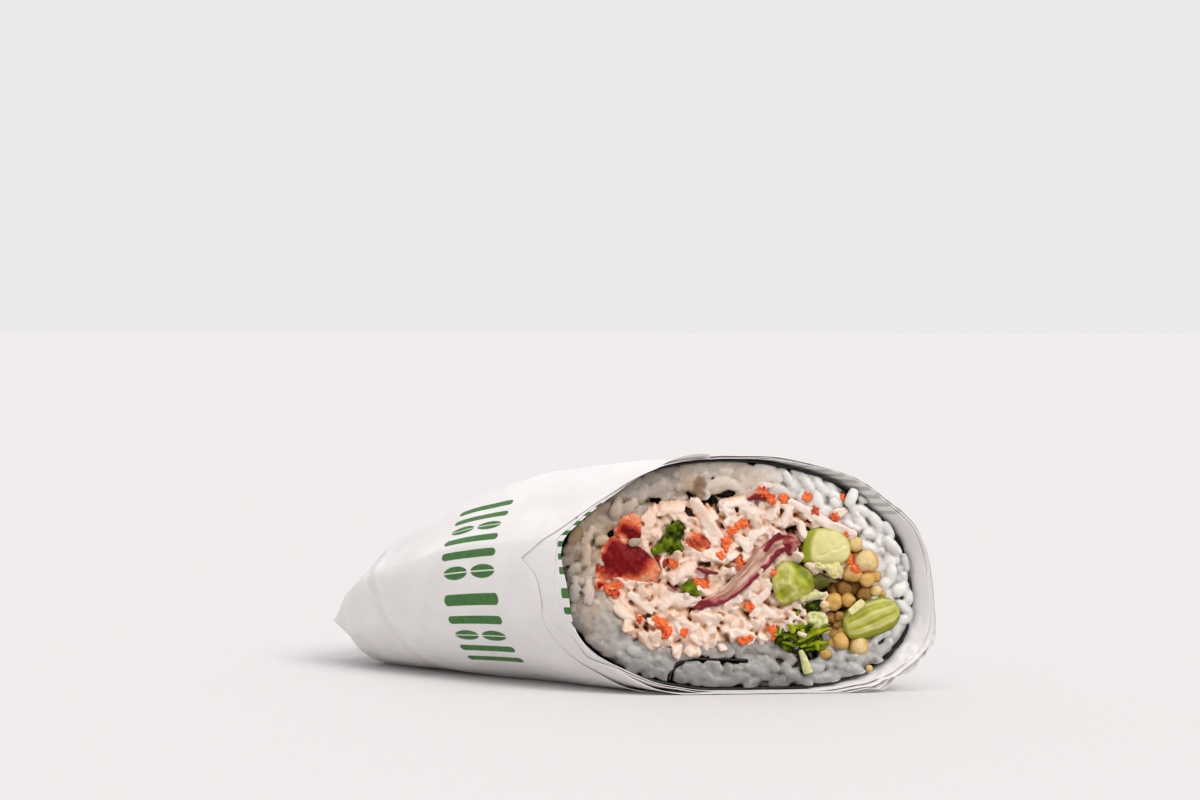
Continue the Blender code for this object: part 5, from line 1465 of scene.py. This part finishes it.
        places, reds, raised = [], [], []
        half = sizes().roe_size * 500.0
        for k, (u, v, long, angle, red) in enumerate(ROE):
            angle = math.radians(angle)
            for _ in range(int(10 + long * 15)):
                s, t = rng.uniform(-0.5, 0.5) * long, rng.normal(0, 0.46)
                places.append((u + s * math.cos(angle) - t * math.sin(angle),
                               v + s * math.sin(angle) + t * math.cos(angle)))
                reds.append(red + rng.normal(0, 0.12))
                raised.append(1.3 if k < 2 else 0.0)
        places = np.array(places)
        tree = kdtree.KDTree(len(points))
        shown = np.flatnonzero(points[:, 2] > -4)
        for k in shown:
            tree.insert((points[k, 0], points[k, 1], 0.0), int(k))
        tree.balance()
        level = np.array([max(points[k, 2] for _, k, _ in tree.find_n((p[0], p[1], 0.0), 6)) for p in places])
        for u, v, w, radius, _ in PEARLS[:2]:
            near = radius ** 2 - (places[:, 0] - u) ** 2 - (places[:, 1] - v) ** 2
            on_pearl = w - 0.35 * radius + 0.9 * np.sqrt(np.maximum(near, 0))
            level = np.where(near > 0, np.maximum(level, on_pearl), level)
        level = np.maximum(level, np.array(raised))
        places = np.column_stack((places, level + rng.uniform(-0.25, 0.12, len(places))))
        egg = ball("egg", 8, 6)
        size = half * 2 * rng.uniform(0.8, 1.5, (len(places), 1)) * (0.5, 0.5, 0.5)
        turns = np.broadcast_to(np.eye(3), (len(places), 3, 3))
        roe = copies("roe", (egg,), from_face(places), turns, size, np.zeros(len(places), int))
        drop(egg)
        finish_with(roe, "REMESH", mode="VOXEL", voxel_size=ROE_VOXEL, use_smooth_shade=True)
        points = on_cut(roe)
        still = np.zeros((len(places), 3))
        mark(roe, red=np.array(reds)[owners(points, places, still, np.ones(len(places)))])
        roe.data.materials.clear()
        dress(smooth(roe), "crab_salad", "crab_salad", masago())
        return {"FINISHED"}


def fish_marks(piece, outline, band=2.2, fray=None):
    """Marks how near the rim of a slice of fish each point is: 0 well inside, 1 at the rim."""
    points = on_cut(piece)
    depth = edge_distance(points[:, :2], outline)
    depth = depth + 0.8 * cloud(points, 1.6, 88) + 0.35 * cloud(points, 0.6, 89)
    wide = band * (1 + 0.7 * cloud(points, 3.0, 87))
    edge = 1 - smooth_step(-0.1, 1, depth / np.maximum(wide, 0.3))
    if fray is not None:
        edge = np.maximum(edge, fray(points))
    return mark(piece, edge=np.clip(edge, 0, 1))


class ROLL_OT_tuna(bpy.types.Operator):
    """Set the pieces of raw tuna in the salad"""
    bl_idname = "roll.tuna"
    bl_label = "Tuna"

    def execute(self, context):
        fish = raw_tuna()

        def pale_lower(p):
            u, v = p[:, 0], p[:, 1]
            right = 0.95 * smooth_step(-25.6, -20.6, u - 0.5 * (v - 2.0)) * (1 - smooth_step(5.5, 8.0, v))
            return np.clip(right + 0.85 * smooth_step(1.5, -1.7, v + 0.7 * cloud(p, 1.1, 90)), 0, 0.9)

        main = chunk("tuna_main", TUNA_MAIN, -0.15, 1.1, 7.0, 0.7, 200, 90, 0.46, 1.9, 81, middle=(-27.6, 3.4))
        fish_marks(main, TUNA_MAIN, 1.7, pale_lower)
        top = chunk("tuna_upper", TUNA_TOP, 0.05, 0.9, 6.0, 0.7, 130, 60, 0.45, 1.8, 82, middle=(-27.0, 11.8))
        fish_marks(top, TUNA_TOP, 1.3, lambda p: 0.9 * smooth_step(10.4, 13.6, p[:, 1] + 0.45 * (p[:, 0] + 27.0)))
        bit = chunk("tuna_bit", TUNA_BIT, -0.2, 0.5, 4.0, 0.6, 64, 36, 0.3, 1.6, 83)
        fish_marks(bit, TUNA_BIT, 1.4)
        sliver = chunk("tuna_sliver", TUNA_SLIVER, 0.4, 0.3, 3.0, 0.5, 64, 36, 0.25, 1.4, 84, middle=(-19.6, 3.2))
        mark(sliver, edge=0.35)
        large = join("tuna_large", (main, top, bit, sliver))
        dress(smooth(large), "tuna_chunk_large", "tuna", fish)
        small = chunk("tuna_small", TUNA_SMALL, -0.15, 1.0, 5.0, 0.8, 110, 60, 0.55, 1.5, 85)
        fish_marks(small, TUNA_SMALL, 3.6, lambda p: 0.62 + 0.5 * cloud(p, 1.5, 86))
        dress(small, "tuna_chunk_small", "tuna", fish)
        return {"FINISHED"}


class ROLL_OT_onion(bpy.types.Operator):
    """Lay the strips of red onion on the cut"""
    bl_idname = "roll.onion"
    bl_label = "Red Onion"

    def execute(self, context):
        flesh = red_onion()
        long = limb("onion_long", ONION_LINE, ONION_HALF, ((0.0, 0.5), (0.1, 0.8), (0.9, 0.9), (1.0, 0.6)),
                    0.25, 48, 170, 0.30, 1.4, 91, 0.6)
        share, across = marks(long, "along"), marks(long, "across")
        points = on_cut(long)
        lines = cloud(np.column_stack((across * 4.5, share * 4.0, np.zeros_like(share))), 1.0, 96)
        hollow = 0.55 * across ** 2 - 0.2 + 0.12 * lines + 0.25 * across * smooth_step(0.3, 0.7, share)
        points[:, 2] += hollow * (points[:, 2] > 0.2)
        put(long, points)
        streak = cloud(np.column_stack((across * 1.6, share * 5.0, np.full_like(share, 4.0))), 1.0, 97)
        skin = 1.0 * (1 - smooth_step(0.08, 0.36, share + 0.10 * across + 0.05 * streak))
        skin += 1.1 * smooth_step(-0.30, -0.75, across + 0.25 * streak) * (1 - 0.3 * smooth_step(0.9, 1.0, share))
        skin += (0.9 * smooth_step(0.35, 0.75, across + 0.3 * streak) * smooth_step(0.62, 0.74, share)
                 * (1 - smooth_step(0.9, 0.97, share)))
        skin += 0.7 * smooth_step(0.74, 0.92, share) * smooth_step(-0.1, 0.5, streak + 0.3)
        skin = skin * (0.72 + 0.55 * cloud(points, 1.7, 100)) + 0.35 * np.clip(streak, 0, 1)
        mark(long, skin=np.clip(skin, 0, 1), line=0.5 + 0.5 * lines)
        rim = limb("onion_rim", ((6.0, 5.4), (7.6, 7.4), (9.0, 9.4), (10.2, 9.9)), 0.5, 0.6,
                   1.2, 16, 60, 0.14, 1.4, 92)
        mark(rim, skin=0.95, line=0.5)
        end = chunk("onion_end", ONION_END, 0.95, 0.5, 3.0, 0.5, 80, 44, 0.35, 1.8, 98)
        points = on_cut(end)
        skin = 0.75 - 0.35 * smooth_step(12.4, 14.2, points[:, 0]) + 0.5 * cloud(points, 1.1, 99)
        mark(end, skin=np.clip(skin, 0, 1), line=0.2)
        long = join("onion_long", (long, rim, end))
        dress(smooth(long), "red_onion_long", "red_onion", flesh)
        top = limb("onion_top", ((2.0, 18.6), (4.2, 19.5), (6.2, 19.5), (8.6, 17.9)),
                   ((0.0, 0.6), (0.4, 1.5), (1.0, 0.6)), 0.6, 0.8, 26, 70, 0.22, 1.4, 93)
        mark(top, line=0.6, skin=np.clip(0.75 + 0.8 * marks(top, "across") * -1.0, 0, 1))
        dress(top, "red_onion_top", "red_onion", flesh)
        thin = limb("onion_thin", ((-10.9, 1.5), (-9.0, 0.7), (-7.4, 0.3), (-5.5, 0.3)),
                    ((0.0, 0.3), (0.5, 0.62), (1.0, 0.3)), 0.45, 1.1, 16, 50, 0.12, 1.2, 94)
        mark(thin, line=0.4, skin=1.0)
        line = limb("onion_line", ((-17.9, -2.6), (-16.9, -3.3), (-15.7, -3.9)), 0.28, 0.4, 0.9, 12, 30, 0.1, 1.0, 95)
        mark(line, line=0.4, skin=1.0)
        thin = join("onion_thin", (thin, line))
        dress(smooth(thin), "red_onion_thin", "red_onion", flesh)
        return {"FINISHED"}


class ROLL_OT_beans(bpy.types.Operator):
    """Set the soy beans on the cut: one sliced, one creased, one dark and one striped"""
    bl_idname = "roll.beans"
    bl_label = "Soy Beans"

    def execute(self, context):
        green = soy_bean("Soy Bean")
        cut = chunk("bean_cut", BEAN_CUT, 0.9, 0.8, 6.0, 0.9, 130, 70, 0.22, 3.0, 101, middle=(21.6, 5.9))
        points = on_cut(cut)
        u, v = points[:, 0], points[:, 1]
        skin = 1 - smooth_step(-0.3, 1.3, u - np.interp(v, (2.0, 4.6, 7.8, 10.6), (17.6, 17.0, 17.2, 18.6)))
        skin = np.maximum(skin, 0.5 * smooth_step(0.9, 0.2, edge_distance(points[:, :2], BEAN_CUT)))
        fringe = smooth_step(3.4, 2.0, v)
        seam = np.exp(-((v - 4.0 - 0.36 * (u - 19.0) - 0.2 * np.sin(u * 2)) / 0.35) ** 2)
        seam = seam * smooth_step(18.4, 19.6, u) * (1 - smooth_step(26.4, 27.2, u))
        crumb = flat_cloud(u, v, 0.9, 107) * fringe
        points[:, 2] += (0.22 * crumb - 0.18 * seam + 0.25 * skin - 0.5 * fringe) * (points[:, 2] > -0.5)
        put(cut, points)
        # pale is the cut face's own colour; line paints shade on the bean where it falls away below the cut, and
        # darkens its skin.
        mark(cut, pale=np.clip(0.85 - skin - 0.3 * fringe * (0.6 + crumb) + 0.4 * seam, 0, 1) * (points[:, 2] > -0.9),
             line=0.6 * smooth_step(-0.1, -1.4, points[:, 2]) + 0.25 * skin)
        crumbs = chunk("bean_fringe", BEAN_FRINGE, 0.8, 0.5, 3.0, 0.6, 110, 60, 0.5, 1.3, 109)
        points = on_cut(crumbs)
        # line paints shade on the crumbs where they sink below the cut.
        mark(crumbs, pale=np.clip(1.0 + 0.3 * cloud(points, 0.9, 111), 0, 1),
             line=0.2 * smooth_step(0.4, -0.8, points[:, 2]))
        cut = join("bean_cut", (cut, crumbs))
        dress(smooth(cut), "edamame_cut", "edamame", green)

        creased = chunk("bean_creased", BEAN_CREASED, 0.9, 1.6, 6.0, 1.2, 150, 80, 0.4, 3.4, 102, middle=(13.3, -2.4))
        points = on_cut(creased)
        u, v = points[:, 0], points[:, 1]
        ridge = 1 - 2 * np.abs(flat_cloud(0.8 * u + 0.6 * v, 0.5 * (v - u), 2.6, 103)) ** 0.7
        ridge += 0.4 * flat_cloud(u, v, 0.9, 108)
        points[:, 2] += 0.5 * ridge * (points[:, 2] > -0.9)
        put(creased, points)
        # The crests of the creases are painted pale as highlights, and line paints shade in the folds and where the
        # bean falls away below the cut.
        mark(creased, pale=np.clip(0.04 + 0.5 * ridge, 0, 0.62),
             line=np.clip(-0.05 - ridge, 0, 1) * 0.9 + 0.5 * smooth_step(-0.1, -1.2, points[:, 2]))
        dress(creased, "edamame_crinkled", "edamame", green)

        dark = limb("bean_dark", ((17.6, -2.6), (20.0, -1.9), (22.6, -2.2)), ((0.0, 1.2), (0.5, 2.2), (1.0, 1.2)),
                    1.8, -1.5, 26, 40, 0.15, 2.0, 104, 1.0)
        mark(dark, pale=0.0, line=0.0)
        dress(dark, "edamame_dark", "edamame_dark", soy_bean("Dark Soy Bean", 1.0))

        striped = limb("bean_striped", ((25.4, -13.9), (29.0, -12.6), (33.0, -11.0), (36.4, -9.6), (39.4, -8.2)),
                       ((0.0, 2.4), (0.2, 4.2), (0.5, 4.7), (0.8, 4.3), (1.0, 2.2)),
                       ((0.0, 1.8), (0.5, 3.1), (1.0, 1.6)), -0.5, 60, 80, 0.2, 3.0, 105, 1.0)
        share, across = marks(striped, "along"), marks(striped, "across")
        points = on_cut(striped)
        wobble = 0.10 * flat_cloud(points[:, 0] * 0.5, points[:, 1] * 0.5, 2.0, 106)
        stripe = 0.75 * np.cos((across + wobble - 0.15) * 9.5) + 0.55 * np.cos((across + wobble) * 23.0 + 1.0)
        stripe = stripe * smooth_step(0.02, 0.2, share) * smooth_step(0.98, 0.85, share) * (points[:, 2] > -1.5)
        points[:, 2] += 0.10 * stripe
        spot = np.exp(-(((points[:, 0] - 31.0) / 1.3) ** 2 + ((points[:, 1] + 13.4) / 0.8) ** 2))
        put(striped, points)
        # line holds the dark between the stripes, which the bean has, and painted shade along its sides and at its
        # ends.
        line = (0.4 * np.clip(-stripe - 0.3, 0, 1) + 0.7 * smooth_step(0.62, 0.98, np.abs(across))
                + 0.5 * smooth_step(0.06, 0.0, np.minimum(share, 1 - share)))
        mark(striped, pale=np.clip(0.24 + 0.42 * stripe + 0.5 * spot, 0, 1), line=line)
        flake = limb("bean_flake", ((26.7, -10.0), (27.8, -9.1), (29.0, -8.1), (30.4, -7.0)),
                     ((0.0, 0.8), (0.4, 1.0), (1.0, 0.9)), 0.42, 2.0, 16, 50, 0.16, 1.2, 112)
        mark(flake, pale=1.0, line=0.0)
        striped = join("bean_striped", (striped, flake))
        dress(smooth(striped), "edamame_striped", "edamame", green)
        return {"FINISHED"}


class ROLL_OT_pearls(bpy.types.Operator):
    """Drop the crisp pearls between the beans"""
    bl_idname = "roll.pearls"
    bl_label = "Crisp Pearls"

    def execute(self, context):
        made = []
        for k, (u, v, w, radius, light) in enumerate(PEARLS):
            pearl = ball("pearl", 28, 18)
            unit = spots(pearl)
            bump = 1 + 0.15 * cloud(unit * 1.0 + k, 0.7, 110 + k) + 0.05 * cloud(unit + k, 0.25, 140 + k)
            put(pearl, unit * bump[:, None] * radius * (1.0, 0.96, 0.9) + (u, v, w - radius * 0.35))
            # The light mark is painted light and shade: each pearl's lightness, some noise, and painted shade on the
            # side that sinks into the cut.
            shade = 0.16 * cloud(unit, 0.7, 170 + k)
            below = 0.38 * smooth_step(0.85, 0.1, unit[:, 2])
            made.append(mark(smooth(turn_out(pearl)), light=light + shade - below))
        bead = ball("bead", 16, 10)
        put(bead, spots(bead) * 0.9 + (31.8, -23.5, -0.3))
        made.append(mark(smooth(bead), light=0.75))
        pearls = join("pearls", made)
        dress(pearls, "crunch_pearls", "crunch_pearl", crisp_pearl())
        return {"FINISHED"}


def leaf(name, outline, lift, seed, light=0.45, wave=0.8, middle=None, fine=True):
    """A limp herb leaf: a thin crumpled sheet in a traced outline."""
    segments, rings = (120, 50) if fine else (36, 18)
    piece = chunk(name, outline, lift, 0.2, 1.2, 0.25, segments, rings, 0.2, 1.2, seed, middle=middle)
    points = on_cut(piece)
    u, v = points[:, 0], points[:, 1]
    fold = wave * (flat_cloud(u, v, 2.0, seed + 1) + 0.7 * flat_cloud(u, v, 0.9, seed + 2))
    points[:, 2] += fold * 0.7
    put(piece, points)
    # The crests of the folds are painted lighter and the troughs darker: painted light and shade.
    return mark(piece, light=light + 0.5 * fold)


class ROLL_OT_herbs(bpy.types.Operator):
    """Tuck in the herb leaves, the pale slice and the pale stalk"""
    bl_idname = "roll.herbs"
    bl_label = "Herbs"

    def execute(self, context):
        rng = np.random.default_rng(41)
        green = herb_leaf()
        # The light given to each leaf, bit and blade is painted light and shade; the leaves at the base of the bunch
        # are painted darkest.
        upper = leaf("leaf_upper", LEAF_UPPER, 1.3, 121, 0.38, 0.8, (-17.3, 7.6))
        dress(upper, "herb_leaf_upper", "herb", green)
        lower = leaf("leaf_lower", LEAF_LOWER, 0.9, 124, 0.35, 0.6)
        dress(lower, "herb_leaf_lower", "herb", green)
        bits = [leaf("leaf_dark", LEAF_DARK, 0.2, 127, 0.1, 0.6),
                leaf("leaf_base", HERB_BASE, -0.3, 128, 0.04, 0.9)]
        for k in range(46):
            u = rng.uniform(8.4, 19.0)
            v = rng.uniform(-18.4, -12.0) if u > 12.0 else rng.uniform(-17.2, -14.0)
            angle, long, wide = rng.normal(0.5, 0.7), rng.uniform(1.6, 4.2), rng.uniform(0.8, 1.7)
            shape = [(u + long * 0.5 * math.cos(a) * math.cos(angle) - wide * 0.5 * math.sin(a) * math.sin(angle),
                      v + long * 0.5 * math.cos(a) * math.sin(angle) + wide * 0.5 * math.sin(a) * math.cos(angle))
                     for a in np.arange(10) * math.pi / 5]
            bits.append(leaf("leaf_bit", shape, rng.uniform(-0.4, 1.1), 130 + 3 * k,
                             rng.choice((0.0, 0.12, 0.35, 0.7)), 0.5, fine=False))
        for k, blade in enumerate(HERB_BLADES):
            ends = (blade[0], tuple((a + b) / 2 + c for a, b, c in zip(blade[0], blade[1], (0.0, 0.5))), blade[1])
            made = limb("herb_blade", ends, ((0.0, 0.35), (0.5, blade[2]), (1.0, 0.25)),
                        0.35, blade[3], 14, 46, 0.16, 1.5, 220 + k)
            across = marks(made, "across")
            # A blade is painted darker at its sides and a little lighter on one of them.
            bits.append(mark(made, light=blade[4] + 0.12 - 0.35 * np.abs(across) + 0.15 * across))
        bunch = join("leaf_bunch", bits)
        dress(smooth(bunch), "herb_bunch", "herb", green)
        pale = pale_stalk()
        blade = limb("pale_blade", ((14.6, -6.2), (17.4, -5.6), (19.4, -5.2), (21.4, -5.1)),
                     ((0.0, 1.0), (0.5, 1.0), (1.0, 0.4)), 0.5, 0.7, 16, 50, 0.15, 1.6, 240)
        piece = chunk("pale_slice", SLICE_PALE, 0.5, 0.5, 4.0, 0.6, 80, 44, 0.5, 1.2, 241)
        dress(join("pale_slice", (piece, blade)), "pale_green_slice", "pale_green", pale)
        stalk = limb("pale_stem", ((14.6, -18.6), (15.4, -20.6), (16.0, -22.6), (16.6, -24.8)),
                     ((0.0, 0.6), (0.4, 0.9), (1.0, 1.3)), 0.8, 0.3, 18, 60, 0.14, 1.4, 242)
        dress(stalk, "pale_stem", "pale_green", pale)
        return {"FINISHED"}


# Stage ----------------------------------------------------------------------------------

def camera_basis(turn, rise):
    back = np.array((math.sin(turn) * math.cos(rise), -math.cos(turn) * math.cos(rise), math.sin(rise)))
    right = np.array((math.cos(turn), math.sin(turn), 0.0))
    return right, np.cross(back, right), back


LENS = 85.0
SENSOR = 36.0
PICTURE = (1200, 800)
CUT_AT = (740, 574)
CAMERA_FAR = 0.70


class ROLL_OT_stage(bpy.types.Operator):
    """Put down the pale floor and backdrop, the lights and the camera"""
    bl_idname = "roll.stage"
    bl_label = "Stage"

    def execute(self, context):
        scene = context.scene
        scene.view_settings.view_transform = "Standard"
        target = row(MIDDLE)
        turn, rise = math.radians(36.0), math.radians(5.0)
        place = target + CAMERA_FAR * camera_basis(turn, rise)[2]
        pixels = 2833.3  # LENS / SENSOR of the picture's width
        for _ in range(20):
            right, up, back = camera_basis(turn, rise)
            offset = target - place
            depth = -(offset @ back)
            across = PICTURE[0] / 2 + pixels * (offset @ right) / depth
            down = PICTURE[1] / 2 - pixels * (offset @ up) / depth
            turn -= (across - CUT_AT[0]) / pixels
            rise += (down - CUT_AT[1]) / pixels
        alone()
        bpy.ops.object.camera_add(location=place)
        camera = start("roll_camera")
        facing = Matrix(np.column_stack(camera_basis(turn, rise)).tolist()).to_4x4()
        camera.matrix_world = Matrix.Translation(place) @ facing
        camera.data.lens, camera.data.sensor_width = LENS, SENSOR
        camera.data.clip_start = 0.01
        scene.camera = camera

        alone()
        bpy.ops.mesh.primitive_plane_add(size=1.0)
        floor = start("pale_floor")
        bpy.ops.object.mode_set(mode="EDIT")
        bpy.ops.mesh.select_all(action="SELECT")
        bpy.ops.transform.resize(value=(60.0, 60.0, 1.0))
        bpy.ops.mesh.subdivide(number_cuts=29)
        bpy.ops.object.mode_set(mode="OBJECT")
        smooth(floor)
        matte = Finish("Pale Floor", Specular_IOR_Level=0.25)
        floor.data.materials.append(matte.done(colours("floor"), 0.75 + 0.05 * matte.noise(8.0)))

        world = bpy.data.worlds.new("Soft Studio")
        world.use_nodes = True
        world.node_tree.nodes["Background"].inputs["Color"].default_value = (1.0, 0.985, 0.985, 1.0)
        world.node_tree.nodes["Background"].inputs["Strength"].default_value = 0.835
        scene.world = world
        for name, angle, height, wide, power in (("key_sun", 84.0, 42.0, 26.0, 1.9),
                                                 ("top_sun", 20.0, 74.0, 40.0, 0.6)):
            alone()
            back = Vector(camera_basis(math.radians(angle), math.radians(height))[2])
            bpy.ops.object.light_add(type="SUN", location=Vector(target) + back)
            light = start(name)
            light.data.energy, light.data.angle = power, math.radians(wide)
            facing = back.to_track_quat("Z", "Y").to_matrix().to_4x4()
            light.matrix_world = Matrix.Translation(light.location) @ facing
        return {"FINISHED"}


class ROLL_PT_panel(bpy.types.Panel):
    """Lists the steps that make the roll"""
    bl_idname = "ROLL_PT_panel"
    bl_label = "Sushi Roll"
    bl_space_type = "VIEW_3D"
    bl_region_type = "UI"
    bl_category = "Sushi Roll"

    def draw(self, context):
        for group in (context.scene.roll_sizes, context.scene.roll_colours):
            box = self.layout.box()
            for name in group.bl_rna.properties.keys():
                if name not in {"rna_type", "name"}:
                    box.prop(group, name)
        for step in STEPS:
            self.layout.operator(step.bl_idname)


STEPS = (ROLL_OT_wrapper, ROLL_OT_seaweed, ROLL_OT_rice, ROLL_OT_salad, ROLL_OT_tuna, ROLL_OT_onion, ROLL_OT_beans,
         ROLL_OT_pearls, ROLL_OT_herbs, ROLL_OT_stage)
CLASSES = (RollSizes, RollColours, *STEPS, ROLL_PT_panel)


def register():
    for kind in CLASSES:
        bpy.utils.register_class(kind)
    bpy.types.Scene.roll_sizes = PointerProperty(type=RollSizes)
    bpy.types.Scene.roll_colours = PointerProperty(type=RollColours)


def unregister():
    del bpy.types.Scene.roll_colours
    del bpy.types.Scene.roll_sizes
    for kind in reversed(CLASSES):
        bpy.utils.unregister_class(kind)


def main():
    register()
    for step in STEPS:
        getattr(bpy.ops.roll, step.bl_idname.split(".")[1])()
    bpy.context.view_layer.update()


if __name__ == "__main__":
    main()
